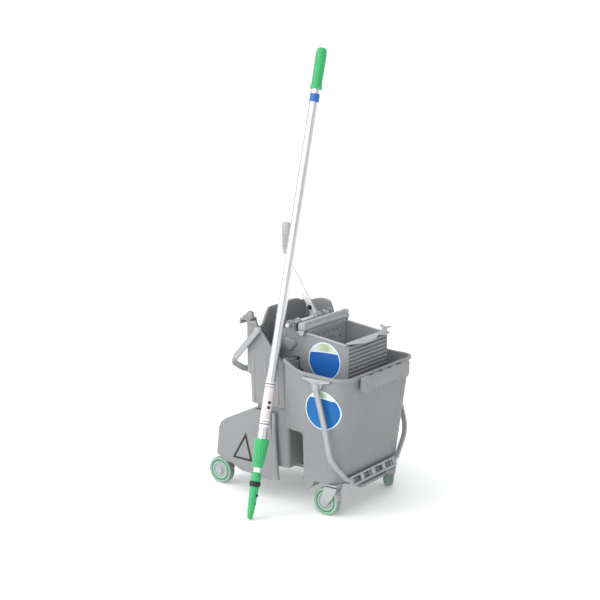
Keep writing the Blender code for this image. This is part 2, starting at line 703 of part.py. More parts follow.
def make_cranks(zinc):
    """Two cams keyed to the shaft; they push the press plate from behind."""
    pivot = (SHAFT_X, 0, SHAFT_Z)
    for side, sign in (("near", -1), ("far", 1)):
        y = sign * 60.0
        crank = solid("press_cam_" + side,
                      rod((SHAFT_X, y - 6, SHAFT_Z), (SHAFT_X, y + 6, SHAFT_Z), 12, 20),
                      zinc, pivot)
        tip = Vector((SHAFT_X - 5.4, y, SHAFT_Z - CRANK_R))
        join(crank, swept_bar([Vector((SHAFT_X, y, SHAFT_Z)), tip], 15, 9,
                              (1, 0, 0)))
        join(crank, rod(tip - Vector((0, 5.5, 0)), tip + Vector((0, 5.5, 0)), 9, 16))
        cut(crank, rod((SHAFT_X, y - 20, SHAFT_Z), (SHAFT_X, y + 20, SHAFT_Z),
                       SHAFT_R + GAP, 20))


def make_press(plastic):
    """The sliding press: a beam over the side walls and a drilled plate below."""
    z = 472.0
    section = [(BEAM_X - 9, z), (BEAM_X + 11, z), (BEAM_X + 11, z + 7), (BEAM_X + 4, z + 10),
               (BEAM_X + 4, z + 20), (BEAM_X - 9, z + 20)]
    beam = solid("press_beam", prism(section, "y", -BEAM_HALF, BEAM_HALF), plastic)
    for sign in (-1, 1):
        low, high = sorted((sign * (WRING_HALF + 5), sign * BEAM_HALF))
        join(beam, prism([(BEAM_X - 9, z + 4), (BEAM_X - 8, z - 13), (BEAM_X + 6, z - 13),
                          (BEAM_X + 11, z + 4)], "y", low, high))
    half = WRING_HALF - 4.0 - 2.0
    plate = solid("press_plate", box((BEAM_X + 4, -half, 374), (BEAM_X + 11, half, z - GAP)),
                  plastic)
    # ribs behind the plate meet the cams' rollers
    for y in (-60.0, 60.0):
        join(plate, box((SHAFT_X + 6.0, y - 5, 412), (BEAM_X + 6, y + 5, 434)))
    pitch = 22.0
    for row in range(4):
        for column in range(7):
            y = (column - 3) * pitch + (row % 2) * pitch / 2 - pitch / 4
            hole_z = 388 + row * 20
            cut(plate, rod((BEAM_X - 20, y, hole_z), (BEAM_X + 20, y, hole_z), 3.5, 6))
    return beam


# ---------------------------------------------------------------- labels

def make_labels(film, ink):
    """Round stickers on the bucket and the wringer, and a blank three-sided mark."""
    thick = 0.8
    # the bucket's disc leans with its wall
    x, z, radius = 4.0, 289.0, 52.0
    low = Vector((x, -front_half(z - radius) - 1.6, z - radius))
    high = Vector((x, -front_half(z + radius) - 0.4, z + radius))
    normal = Vector((0, low.z - high.z, high.y - low.y)).normalized()
    centre = (low + high) / 2 + normal * 0.4
    solid("bucket_label", turned(centre, normal, [(0, radius), (thick, radius)], 32), film)

    x, z, radius = -38.0, 398.0, 50.0
    disc = turned((x, -WRING_HALF - GAP, z), (0, -1, 0), [(0, radius), (thick, radius)], 32)
    solid("wringer_label", disc, film)

    y = -CASING_HALF - GAP
    sign = solid("caution_mark",
                 prism([(-313, 96), (-246, 95), (-268, 173)], "y", y - thick, y), ink)
    cut(sign, prism([(-304, 101), (-254, 100.5), (-270, 158)], "y", y - 5, y + 5))


# ---------------------------------------------------------------- pole

def on_pole(distance):
    return POLE_TIP + (POLE_TOP - POLE_TIP).normalized() * distance


def make_pole(alloy, green, dark, blue, white):
    axis = (POLE_TOP - POLE_TIP).normalized()
    length = (POLE_TOP - POLE_TIP).length
    solid("pole_tip_cone", turned(POLE_TIP, axis, [
        (0, 7.0), (14, 7.8), (16, 8.6), (84, 12.0)], 20), green, POLE_TIP)
    solid("pole_tip_ring", turned(on_pole(84 + GAP), axis, [
        (0, 13.6), (2, 14.4), (10, 14.4), (13.4, 13.6)], 20), dark, POLE_TIP)
    solid("pole_tip_socket", turned(on_pole(98), axis, [
        (0, 12.6), (3, 13.2), (18, 12.6), (18, 9.0), (23, 9.0)], 20), green, POLE_TIP)
    inner = turned(on_pole(121 + GAP), axis, [(0, INNER_R), (length - 121 - 40, INNER_R)], 16)
    solid("pole_inner_tube", inner, alloy, POLE_TIP)
    outer_start = 137.0
    bore = INNER_R + GAP
    end = length - 3
    tube = [(outer_start, bore), (outer_start, POLE_R), (end, POLE_R), (end, bore)]
    solid("pole_outer_tube", turned_ring(POLE_TIP, axis, tube, 20), alloy, POLE_TIP)
    collar = [(134, POLE_R + GAP), (134, 13.4), (140, 14.2), (196, 19.2), (205, 19.6),
              (209, 17.0), (209, POLE_R + GAP)]
    solid("twist_collar", turned_ring(POLE_TIP, axis, collar, 24), green, POLE_TIP)
    sleeve = [(239, POLE_R + GAP), (239, POLE_R + 0.9), (358, POLE_R + 0.9),
              (358, POLE_R + GAP)]
    solid("pole_sleeve", turned_ring(POLE_TIP, axis, sleeve, 20), white, POLE_TIP)
    band = [(1096, POLE_R + GAP), (1096, POLE_R + 0.9), (1118, POLE_R + 0.9),
            (1118, POLE_R + GAP)]
    solid("pole_band", turned_ring(POLE_TIP, axis, band, 20), blue, POLE_TIP)
    grip = [(1130, POLE_R + GAP), (1130, 15.4), (1134, 16.2), (1139, 14.6), (1160, 13.8),
            (1200, 14.6), (1222, 14.4), (1232, 13.0), (1232, POLE_R + GAP)]
    solid("pole_grip", turned_ring(POLE_TIP, axis, grip, 24), green, POLE_TIP)
    cap = [(0, POLE_R), (4, 11.6), (8, 7)]
    solid("pole_cap", turned(on_pole(1233 + GAP), axis, cap, 20), green, POLE_TIP)
    # the release button stands out of the cone, towards the pouring end
    outward = Vector((1, 0, 0)) - axis * axis.x
    outward.normalize()
    centre = on_pole(62)
    cone = bpy.data.objects["pole_tip_cone"]
    cut(cone, turned(centre + outward * 4, outward, [(0, 4 + GAP), (12, 4 + GAP)], 12))
    button = turned(centre + outward * 7.5, outward, [(0, 4), (5.5, 4), (6.5, 3)], 12)
    solid("tip_button", button, dark, centre)


# ---------------------------------------------------------------- assembly

def build():
    clear_scene()
    body = material("moulded_grey", GREY, 0.45)
    pale = material("pale_grey", PALE_GREY, 0.5)
    steel = material("bright_steel", (0.75, 0.76, 0.77), 0.25, 1.0)
    zinc = material("zinc_plate", (0.55, 0.56, 0.58), 0.4, 1.0)
    alloy = material("pole_alloy", (0.80, 0.80, 0.81), 0.3, 1.0)
    green = material("pole_green", GREEN, 0.4)
    rubber = material("tyre_green", (0.24, 0.42, 0.33), 0.7)
    dark = material("black_part", (0.02, 0.02, 0.02), 0.5)
    blue = material("blue_film", (0.02, 0.13, 0.45), 0.35)
    white = material("white_film", (0.85, 0.80, 0.81), 0.4)

    make_front_bucket(body)
    make_pour_lip(body)
    make_rear_bucket(body)
    make_corner_hook(body)
    make_rear_casing(body)
    make_base_deck(body)
    make_skirts(body)
    make_rear_axle(steel, body)
    for side, sign, turn in (("near", -1, 0.0), ("far", 1, CASTER_FAR_TURN)):
        make_wheel("rear_wheel_" + side, (REAR_WHEEL_X, sign * REAR_WHEEL_Y, WHEEL_R),
                   rubber, pale)
        make_caster(side, sign * CASTER_Y, turn, rubber, pale, pale, zinc)
    make_front_bail(pale)
    make_bail_ears(body)
    make_rear_bail(pale)
    make_wringer_housing(body)
    make_louvres(body)
    make_flap(pale)
    make_bosses(body)
    make_rails(body)
    make_lever(steel, pale, zinc, dark)
    make_cranks(zinc)
    make_press(pale)
    make_labels(blue, dark)
    make_pole(alloy, green, dark, blue, white)


build()
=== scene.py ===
"""Looks for the two-bucket mopping trolley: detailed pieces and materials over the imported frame."""
import json
from math import copysign, cos, pi, radians, sin, sqrt

import bmesh
import bpy
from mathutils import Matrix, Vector

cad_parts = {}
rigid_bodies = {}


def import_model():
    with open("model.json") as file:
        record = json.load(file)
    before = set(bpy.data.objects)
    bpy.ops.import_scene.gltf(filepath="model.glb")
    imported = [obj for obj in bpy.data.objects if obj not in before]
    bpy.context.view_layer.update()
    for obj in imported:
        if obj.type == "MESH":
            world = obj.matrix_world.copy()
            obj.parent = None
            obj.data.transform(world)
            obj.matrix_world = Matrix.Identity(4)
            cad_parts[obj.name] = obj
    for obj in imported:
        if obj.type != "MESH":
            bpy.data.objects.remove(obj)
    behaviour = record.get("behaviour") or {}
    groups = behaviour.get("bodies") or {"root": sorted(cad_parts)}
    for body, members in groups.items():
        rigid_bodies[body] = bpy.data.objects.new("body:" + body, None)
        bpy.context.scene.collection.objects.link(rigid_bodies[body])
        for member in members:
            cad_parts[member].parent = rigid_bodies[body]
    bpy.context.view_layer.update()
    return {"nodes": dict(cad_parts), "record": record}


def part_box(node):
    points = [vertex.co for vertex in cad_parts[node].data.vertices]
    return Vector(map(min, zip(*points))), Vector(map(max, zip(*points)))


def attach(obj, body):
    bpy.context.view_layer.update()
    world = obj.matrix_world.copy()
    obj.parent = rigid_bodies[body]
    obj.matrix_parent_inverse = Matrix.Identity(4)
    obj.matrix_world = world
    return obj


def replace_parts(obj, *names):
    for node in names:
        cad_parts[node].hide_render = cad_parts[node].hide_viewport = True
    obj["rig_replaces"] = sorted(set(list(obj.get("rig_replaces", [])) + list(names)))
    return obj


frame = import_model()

MM = 0.001
BODY_OF = {node: body for body, nodes in frame["record"]["behaviour"]["bodies"].items() for node in nodes}
SLOT_OF = {part["node"]: part["material_slot"] for part in frame["record"]["subparts"]}


def node_centre(name):
    low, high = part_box(name)
    return (Vector(low) + Vector(high)) / 2


# the design's driving sizes in millimetres; +X points to the pouring lip, -Y to the pole
FRONT_BACK_X, FRONT_LEG_X = -124.0, -66.0
FRONT_HALF_TOP, FRONT_HALF_LOW = 168.0, 157.0
FRONT_FLOOR_Z, FRONT_STEP_Z, FRONT_RIM_Z = 90.0, 218.0, 380.0
FRONT_END_LOW_X, FRONT_END_TOP_X = 43.0, 78.0
WALL, RIM_HEIGHT, PINCH = 4.0, 9.0, 6.0
REAR_BACK_X, REAR_FRONT_X = -262.0, -132.0
REAR_HALF_TOP, REAR_HALF_LOW = 140.0, 123.0
REAR_FLOOR_Z, REAR_LEDGE_Z = 92.0, 262.0
REAR_RIM_FRONT_Z, REAR_RIM_BACK_Z = 393.0, 488.0
WHEEL_R, TYRE_WIDTH, BAND_R = 37.5, 22.0, 28.5
REAR_WHEEL_X = -381.0
CASING_HALF = 132.0
WRING_BACK_X, WRING_END_X, WRING_SLOPE_X = -177.0, 29.0, -87.0
WRING_HALF, WRING_TOP_Z, WRING_END_Z = 94.0, 465.0, 450.0
SHAFT_X, SHAFT_Z = -149.0, 480.0
LEVER_Y, LEVER_LENGTH, LEVER_BEND, LEVER_LEAN = 26.0, 275.0, 176.0, 33.5
BEAM_X, BEAM_HALF = -105.0, 106.0
BAIL_PIVOT, BAIL_ARM_Y = (-8.0, 352.0), 179.0
REAR_PIVOT, REAR_ARM_Y = (-213.0, 467.0), 151.0
POLE_TIP = Vector((-139.0, -287.0, 3.6))
POLE_TOP = Vector((-166.0, 75.0, 1184.6))

# the design counts millimetres from the floor, midway between the wheels' planes
ORIGIN = (node_centre("rear_wheel_near_tyre") + node_centre("rear_wheel_far_tyre")) / 2
ORIGIN = Vector((ORIGIN.x - REAR_WHEEL_X * MM, ORIGIN.y, 0))


def world(point):
    """A design point in millimetres as a point of the frame in metres."""
    return ORIGIN + Vector(point) * MM

# ---- camera, light and floor

def placed(name, data):
    obj = bpy.data.objects.new(name, data)
    bpy.context.collection.objects.link(obj)
    return obj


def make_camera():
    data = bpy.data.cameras.new("camera")
    data.lens = 90.0
    data.sensor_width = 36.0
    data.clip_end = 300.0
    camera = placed("camera", data)
    camera.location = world((2091.0, -3200.0, 1385.0))
    camera.rotation_euler = (radians(90 - 12.35), 0, radians(35.4))
    bpy.context.scene.camera = camera


def make_light(name, kind, direction, energy):
    data = bpy.data.lights.new(name, kind)
    data.energy = energy
    light = placed(name, data)
    light.rotation_euler = Vector(direction).to_track_quat("-Z", "Y").to_euler()
    return light


def make_studio():
    """A broad key from the pole's side, a weak fill, a pale world and a pale floor."""
    key = make_light("key", "SUN", (0.22, 0.80, -0.80), 1.95)
    key.data.angle = radians(90)
    key.data.color = (1.0, 0.995, 0.985)
    rim = make_light("rim", "SUN", (0.4, -0.5, -1.0), 0.6)
    rim.data.angle = radians(80)
    place = Vector((-1.6, -2.6, 1.6))
    strip = make_light("strip", "AREA", Vector((0, 0, 0.5)) - place, 14)
    strip.location = place
    strip.data.shape = "DISK"
    strip.data.size = 0.9
    studio = bpy.data.worlds.new("studio")
    bpy.context.scene.world = studio
    studio.use_nodes = True
    background = studio.node_tree.nodes["Background"]
    background.inputs["Color"].default_value = (0.96, 0.98, 1.0, 1)
    background.inputs["Strength"].default_value = 0.57
    bpy.context.scene.view_settings.view_transform = "Standard"
    mesh = bpy.data.meshes.new("floor")
    reach = 120.0
    mesh.from_pydata([(-reach, -reach, 0), (reach, -reach, 0), (reach, reach, 0), (-reach, reach, 0)],
                     [], [(0, 1, 2, 3)])
    paint = Shader("floor", 0.9)
    paint.feed((0.93, 0.93, 0.93), paint.principled.inputs["Base Color"])
    paint.feed((1, 1, 1), paint.principled.inputs["Emission Color"])
    paint.feed(0.15, paint.principled.inputs["Emission Strength"])
    mesh.materials.append(paint.material)
    placed("floor", mesh)


# ---- materials

class Shader:
    """A material whose nodes are laid out by short calls."""

    def __init__(self, name, rough, metal=0.0, coat=0.0, specular=0.5):
        self.material = bpy.data.materials.new(name)
        self.material.use_nodes = True
        self.tree = self.material.node_tree
        self.principled = self.tree.nodes["Principled BSDF"]
        for key, value in (("Roughness", rough), ("Metallic", metal), ("Coat Weight", coat),
                           ("Specular IOR Level", specular)):
            self.feed(value, self.principled.inputs[key])
        self.coordinates = self.node("TexCoord", {}).outputs["Object"]

    def feed(self, value, socket):
        """Links another node's output, or sets a number, a vector or a colour."""
        if isinstance(value, bpy.types.NodeSocket):
            self.tree.links.new(value, socket)
        elif socket.type == "RGBA":
            socket.default_value = (*value, 1)
        else:
            socket.default_value = value

    def node(self, kind, feeds, **settings):
        """A new node; feeds holds its inputs by name or by number."""
        made = self.tree.nodes.new("ShaderNode" + kind)
        for key, value in settings.items():
            setattr(made, key, value)
        for key, value in feeds.items():
            self.feed(value, made.inputs[key])
        return made

    def noise(self, scale, detail=3.0, stretch=None, rough=0.55):
        source = self.coordinates
        if stretch:
            source = self.node("Mapping", {"Scale": stretch, "Vector": source}).outputs["Vector"]
        feeds = {"Scale": scale, "Detail": detail, "Roughness": rough, "Vector": source}
        return self.node("TexNoise", feeds).outputs["Fac"]

    def ramp(self, source, stops):
        made = self.node("ValToRGB", {"Fac": source})
        elements = made.color_ramp.elements
        for position, colour in stops[1:-1]:
            elements.new(position)
        for element, (position, colour) in zip(elements, stops):
            element.position = position
            element.color = (*colour, 1)
        return made.outputs["Color"]

    def mask(self, source, low, high):
        return self.ramp(source, [(low, (0, 0, 0)), (high, (1, 1, 1))])

    def tint(self, source, colour, dark, light):
        return self.ramp(source, [(0.3, shade(colour, dark)), (0.7, shade(colour, light))])

    def mix(self, factor, first, second):
        return self.node("Mix", {0: factor, 6: first, 7: second}, data_type="RGBA").outputs[2]

    def math(self, operation, first, second=0.0):
        return self.node("Math", {0: first, 1: second}, operation=operation).outputs[0]

    def remap(self, source, low, high):
        feeds = {"To Min": low, "To Max": high, "Value": source}
        return self.node("MapRange", feeds).outputs["Result"]

    def finish(self, colour, roughness, *bumps):
        """Feeds the colour, the roughness and height layers (source, strength, distance in metres)."""
        self.feed(colour, self.principled.inputs["Base Color"])
        self.feed(roughness, self.principled.inputs["Roughness"])
        feeds = {}
        for source, strength, distance in bumps:
            feeds.update({"Strength": strength, "Distance": distance, "Height": source})
            feeds["Normal"] = self.node("Bump", feeds).outputs["Normal"]
        self.feed(feeds["Normal"], self.principled.inputs["Normal"])
        return self.material


def shade(colour, factor):
    return tuple(min(1.0, channel * factor) for channel in colour)


def moulded_plastic(name, colour, rough=0.42, grain=0.25, scuffs=0.5):
    """Injection-moulded plastic: spark-eroded grain, flow tint, worn edges and light scuffs."""
    s = Shader(name, rough, specular=0.45)
    tint = s.tint(s.noise(7.0, 4.0), colour, 0.94, 1.05)
    streaks = s.noise(38.0, 4.0, (1.0, 1.0, 0.12))
    streaked = s.mix(s.remap(streaks, 0.0, 0.16), tint, shade(colour, 0.86))
    edge = s.node("NewGeometry", {}).outputs["Pointiness"]
    worn = s.math("MULTIPLY", s.mask(edge, 0.50, 0.56), 0.28)
    edged = s.mix(worn, streaked, shade(colour, 1.35))
    lines = s.mask(s.noise(210.0, 2.0, (0.08, 1.0, 1.0)), 0.66, 0.72)
    patch = s.mask(s.noise(5.0), 0.52, 0.68)
    marks = s.math("MULTIPLY", s.math("MULTIPLY", lines, patch), 0.20 * scuffs)
    return s.finish(s.mix(marks, edged, shade(colour, 1.5)),
                    s.remap(s.noise(26.0, 5.0), rough - 0.08, rough + 0.12),
                    (s.noise(2600.0, 2.0), grain, 0.00008), (s.noise(14.0, 2.0), 0.10, 0.0006))


def rubber(name, colour):
    s = Shader(name, 0.62, specular=0.35)
    tint = s.tint(s.noise(30.0, 4.0), colour, 0.86, 1.08)
    dust = s.mask(s.noise(90.0, 6.0, rough=0.7), 0.52, 0.70)
    return s.finish(s.mix(s.math("MULTIPLY", dust, 0.25), tint, (0.55, 0.56, 0.52)),
                    s.remap(s.noise(60.0), 0.55, 0.75),
                    (s.noise(1400.0), 0.3, 0.0001), (s.noise(120.0), 0.12, 0.0003))


def brushed_metal(name, colour, rough):
    """Drawn or brushed metal, with its grain stretched upwards."""
    s = Shader(name, rough, metal=1.0)
    lines = s.noise(900.0, 3.0, (1.0, 1.0, 0.02))
    tint = s.tint(s.noise(9.0), colour, 0.93, 1.04)
    return s.finish(s.mix(s.remap(lines, 0.0, 0.18), tint, shade(colour, 0.7)),
                    s.remap(lines, rough - 0.07, rough + 0.10), (lines, 0.12, 0.00006))


def zinc_metal(name):
    """Bright zinc plating with its faint crystalline mottle."""
    s = Shader(name, 0.5, metal=1.0)
    cells = s.node("TexVoronoi", {"Scale": 160.0, "Vector": s.coordinates})
    mottle = s.ramp(cells.outputs["Distance"], [(0.1, (0.56, 0.57, 0.58)), (0.7, (0.45, 0.46, 0.48))])
    return s.finish(s.mix(s.remap(s.noise(40.0, 4.0), 0.0, 0.3), mottle, (0.40, 0.40, 0.41)),
                    s.remap(s.noise(75.0, 4.0), 0.42, 0.60), (s.noise(700.0), 0.15, 0.0001))


def printed_film(name, centre, radius, crest_at, tilt, top, foot):
    """A round sticker: pale border, pale crown and a blue field below a nearly straight edge."""
    s = Shader(name, 0.38, specular=0.3)
    offset = s.node("VectorMath", {0: s.coordinates, 1: centre}, operation="SUBTRACT")
    parts = s.node("SeparateXYZ", {0: offset.outputs[0]}).outputs
    x, z = (s.math("DIVIDE", parts[k], radius) for k in (0, 2))
    x_squared = s.math("MULTIPLY", x, x)
    reach = s.math("SQRT", s.math("ADD", x_squared, s.math("MULTIPLY", z, z)))
    crest = s.math("ADD", crest_at, s.math("MULTIPLY", x, tilt))
    crest = s.math("SUBTRACT", crest, s.math("MULTIPLY", x_squared, 0.05))
    line = s.math("GREATER_THAN", z, s.math("SUBTRACT", crest, 0.055))
    blue = s.ramp(s.math("ADD", s.math("MULTIPLY", z, 0.5), 0.5), [(0.0, foot), (1.0, top)])
    blotch = s.math("ADD", x_squared, s.math("MULTIPLY", s.noise(40.0), 0.25))
    pale = s.ramp(blotch, [(0.10, (0.42, 0.52, 0.30)), (0.26, (0.62, 0.70, 0.62)),
                           (0.5, (0.66, 0.72, 0.68))])
    field = s.mix(line, blue, (0.80, 0.86, 0.90))
    field = s.mix(s.math("GREATER_THAN", z, crest), field, pale)
    border = s.math("GREATER_THAN", reach, 0.945)
    return s.finish(s.mix(border, field, (0.66, 0.82, 0.92)), s.remap(s.noise(80.0), 0.26, 0.40),
                    (s.noise(60.0), 0.05, 0.0002))


def plain_film(name, colour):
    s = Shader(name, 0.4, coat=0.1)
    return s.finish(s.tint(s.noise(45.0, 4.0), colour, 0.92, 1.05), s.remap(s.noise(120.0), 0.32, 0.48),
                    (s.noise(500.0), 0.08, 0.0001))


LOOKS = {name: make(name, *values) for make, name, *values in (
    (moulded_plastic, "moulded_grey", (0.268, 0.273, 0.278)),
    (moulded_plastic, "pale_grey", (0.40, 0.41, 0.418), 0.40, 0.18),
    (brushed_metal, "bright_steel", (0.90, 0.905, 0.91), 0.34),
    (zinc_metal, "zinc_plate"),
    (brushed_metal, "pole_alloy", (0.86, 0.87, 0.88), 0.30),
    (moulded_plastic, "pole_green", (0.045, 0.42, 0.145), 0.30, 0.10, 0.3),
    (rubber, "tyre_green", (0.27, 0.44, 0.34)),
    # painted shade: the dark green stands in for the shadow inside the groove at the tyre's root
    (rubber, "tyre_dark", (0.045, 0.22, 0.115)),
    (rubber, "tread_grey", (0.24, 0.29, 0.265)),
    (rubber, "hub_mint", (0.36, 0.53, 0.43)),
    (moulded_plastic, "black_part", (0.018, 0.018, 0.019), 0.45, 0.2),
    (plain_film, "blue_film", (0.02, 0.13, 0.45)),
    (plain_film, "white_film", (0.85, 0.83, 0.84)),
    (plain_film, "pink_print", (0.80, 0.69, 0.715)),
    (plain_film, "grey_print", (0.22, 0.22, 0.24)))}


# ---- mesh helpers

def mesh_from(name, shape):
    mesh = bpy.data.meshes.new(name)
    mesh.from_pydata([world(v) for v in shape[0]], [], shape[1])
    bm = bmesh.new()
    bm.from_mesh(mesh)
    bmesh.ops.recalc_face_normals(bm, faces=bm.faces)
    bm.to_mesh(mesh)
    bm.free()
    return mesh


def piece(name, shape, node, look=None, replace=True, bevel=0.0, angle=35.0, segments=3):
    """A finished piece that rides with a CAD node and, unless told not to, stands for it.

    Its look is the node's own material slot where none is named.
    """
    if isinstance(shape, list):
        shape = join_shapes(*shape)
    mesh = mesh_from(name, shape) if isinstance(shape, tuple) else shape
    mesh.materials.clear()
    mesh.materials.append(LOOKS[look or SLOT_OF[node]])
    mesh.shade_smooth()
    mesh.set_sharp_from_angle(angle=radians(60 if bevel else angle))
    obj = placed(name, mesh)
    if bevel:
        edge = obj.modifiers.new("edge", "BEVEL")
        edge.width = bevel * MM
        edge.segments = segments
        edge.limit_method = "ANGLE"
        edge.angle_limit = radians(angle)
        edge.miter_outer = "MITER_ARC"
        edge.use_clamp_overlap = True
    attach(obj, BODY_OF[node])
    if replace:
        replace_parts(obj, node)
    return obj


def detail(name, shape, node, look=None, **edges):
    """A finished piece beside the one that stands for its node."""
    return piece(name, shape, node, look, replace=False, **edges)


def refined(node, bevel=1.0, segments=3, angle=30.0):
    """The CAD piece with its flat faces made whole again and its edges rounded."""
    mesh = frame["nodes"][node].data.copy()
    bm = bmesh.new()
    bm.from_mesh(mesh)
    bmesh.ops.remove_doubles(bm, verts=bm.verts, dist=0.00002)
    bmesh.ops.dissolve_limit(bm, angle_limit=radians(1.0), verts=bm.verts, edges=bm.edges)
    bm.to_mesh(mesh)
    bm.free()
    piece(node + "_fine", mesh, node, bevel=bevel, angle=angle, segments=segments)


def loft(rings, cap=True):
    size = len(rings[0])
    verts = [point for ring in rings for point in ring]
    faces = []
    for low in range(0, size * (len(rings) - 1), size):
        for i in range(size):
            j = (i + 1) % size
            faces.append((low + i, low + j, low + size + j, low + size + i))
    if cap:
        faces.append(tuple(reversed(range(size))))
        faces.append(tuple(range(len(verts) - size, len(verts))))
    return verts, faces


def ring_loft(rings):
    verts, faces = loft(rings + [rings[0]], cap=False)
    size = len(rings[0])
    last = len(rings) * size
    return verts[:last], [tuple(i - last if i >= last else i for i in face) for face in faces]


def join_shapes(*shapes):
    verts, faces = [], []
    for more_verts, more_faces in shapes:
        start = len(verts)
        verts += more_verts
        faces += [tuple(i + start for i in face) for face in more_faces]
    return verts, faces


def axes_for(direction):
    direction = Vector(direction).normalized()
    side = direction.cross(Vector((0, 0, 1)))
    if side.length < 0.01:
        side = Vector((1, 0, 0))
    side.normalize()
    return direction, side, side.cross(direction)


def angles(count, offset=0.0):
    return [2 * pi * (i + offset) / count for i in range(count)]


def circle(centre, direction, radius, sides, wave=None):
    _, side, up = axes_for(direction)
    points = []
    for a in angles(sides):
        r = radius + (wave(a) if wave else 0.0)
        points.append(Vector(centre) + r * (cos(a) * side + sin(a) * up))
    return points


def discs(start, direction, profile, sides):
    axis = Vector(direction).normalized()
    return [circle(Vector(start) + axis * along, axis, radius, sides) for along, radius in profile]


def turned(start, direction, profile, sides=40):
    return loft(discs(start, direction, profile, sides))


def turned_ring(start, direction, profile, sides=48):
    return ring_loft(discs(start, direction, profile, sides))


def at_side(y, pairs):
    """Points of the side view, given by x and z, all at one y."""
    return [(x, y, z) for x, z in pairs]


def arc_points(cx, cy, radius, start, end, steps):
    return [(cx + radius * cos(radians(start + (end - start) * i / steps)),
             cy + radius * sin(radians(start + (end - start) * i / steps)))
            for i in range(steps + 1)]


def smooth_path(points, steps=8):
    """A Catmull-Rom curve through the given points."""
    pts = [Vector(p) for p in points]
    out = []
    for i in range(len(pts) - 1):
        a = pts[max(i - 1, 0)]
        b, c = pts[i], pts[i + 1]
        d = pts[min(i + 2, len(pts) - 1)]
        for k in range(steps):
            t = k / steps
            out.append(0.5 * ((2 * b) + (c - a) * t + (2 * a - 5 * b + 4 * c - d) * t * t
                              + (3 * b - a - 3 * c + d) * t ** 3))
    out.append(pts[-1])
    return out


def rounded_path(points, radius, steps=6):
    """Straight runs whose corners are rounded by arcs of about that radius."""
    pts = [Vector(p) for p in points]
    out = [pts[0]]
    for before, here, after in zip(pts, pts[1:], pts[2:]):
        into, away = (here - before), (after - here)
        cut = min(radius, into.length * 0.45, away.length * 0.45)
        start, end = here - into.normalized() * cut, here + away.normalized() * cut
        for k in range(steps + 1):
            t = k / steps
            out.append(start * (1 - t) ** 2 + here * 2 * t * (1 - t) + end * t * t)
    out.append(pts[-1])
    return out


def superellipse(width, height, power=4.0, count=20):
    """A section between a rectangle and an ellipse."""
    section = []
    for a in angles(count, 0.5):
        c, s = cos(a), sin(a)
        section.append((width / 2 * copysign(abs(c) ** (2 / power), c),
                        height / 2 * copysign(abs(s) ** (2 / power), s)))
    return section


def sweep(path, section, across):
    path = [Vector(point) for point in path]
    rings = []
    for i, here in enumerate(path):
        before, after = path[max(i - 1, 0)], path[min(i + 1, len(path) - 1)]
        tangent = (after - before).normalized()
        side = (Vector(across) - tangent * tangent.dot(Vector(across))).normalized()
        normal = tangent.cross(side)
        rings.append([here + side * a + normal * b for a, b in section])
    return loft(rings)


def bar(path, *section, across=(0, 1, 0)):
    """A sweep of a superellipse, given by width, height, power and count."""
    return sweep(path, superellipse(*section), across)


def prism(outline, axis, low, high):
    order = {"x": (2, 0, 1), "y": (0, 2, 1), "z": (0, 1, 2)}[axis]

    def point(pair, depth):
        values = (pair[0], pair[1], depth)
        return Vector(values[order[i]] for i in range(3))

    return loft([[point(pair, depth) for pair in outline] for depth in (low, high)])


def flank_prism(outline, sign, *reaches):
    """A prism on one flank, between two distances from the middle plane."""
    return prism(outline, "y", *sorted(sign * reach for reach in reaches))


def rounded_outline(x0, x1, y0, y1, radii, steps=8, side_points=0):
    corners = [(x1, y0, -90), (x1, y1, 0), (x0, y1, 90), (x0, y0, 180)]
    runs = []
    for (x, y, start), radius in zip(corners, radii):
        cx = x - radius if x == x1 else x + radius
        cy = y + radius if y == y0 else y - radius
        runs.append(arc_points(cx, cy, radius, start, start + 90, steps))
    points = []
    for i, run in enumerate(runs):
        points += run
        first = runs[(i + 1) % 4][0]
        for k in range(1, side_points + 1):
            t = k / (side_points + 1)
            points.append((run[-1][0] + (first[0] - run[-1][0]) * t,
                           run[-1][1] + (first[1] - run[-1][1]) * t))
    return points


def cut_with(obj, shape, name):
    """Cuts a shape away and keeps only the result."""
    tool = placed(name, mesh_from(name, shape))
    modifier = obj.modifiers.new("cut", "BOOLEAN")
    modifier.operation = "DIFFERENCE"
    modifier.solver = "EXACT"
    modifier.object = tool
    with bpy.context.temp_override(object=obj, active_object=obj, selected_objects=[obj]):
        bpy.ops.object.modifier_apply(modifier=modifier.name)
    bpy.data.objects.remove(tool, do_unlink=True)


def smoothstep(value, low, high):
    t = min(max((value - low) / (high - low), 0.0), 1.0)
    return t * t * (3 - 2 * t)


# ---- wheels and casters

def joint_moving(node):
    """The place, in the design's millimetres, and the axis of the joint that moves a node's body."""
    joint = next(joint for joint in frame["record"]["behaviour"]["joints"]
                 if joint["child"] == BODY_OF[node])
    return (Vector(joint["pos_m"]) - ORIGIN) / MM, Vector(joint["axis"])


def mirrored(profile):
    """A profile from one side of a wheel, carried on to its other side."""
    return profile + [(TYRE_WIDTH - along, radius) for along, radius in reversed(profile)]


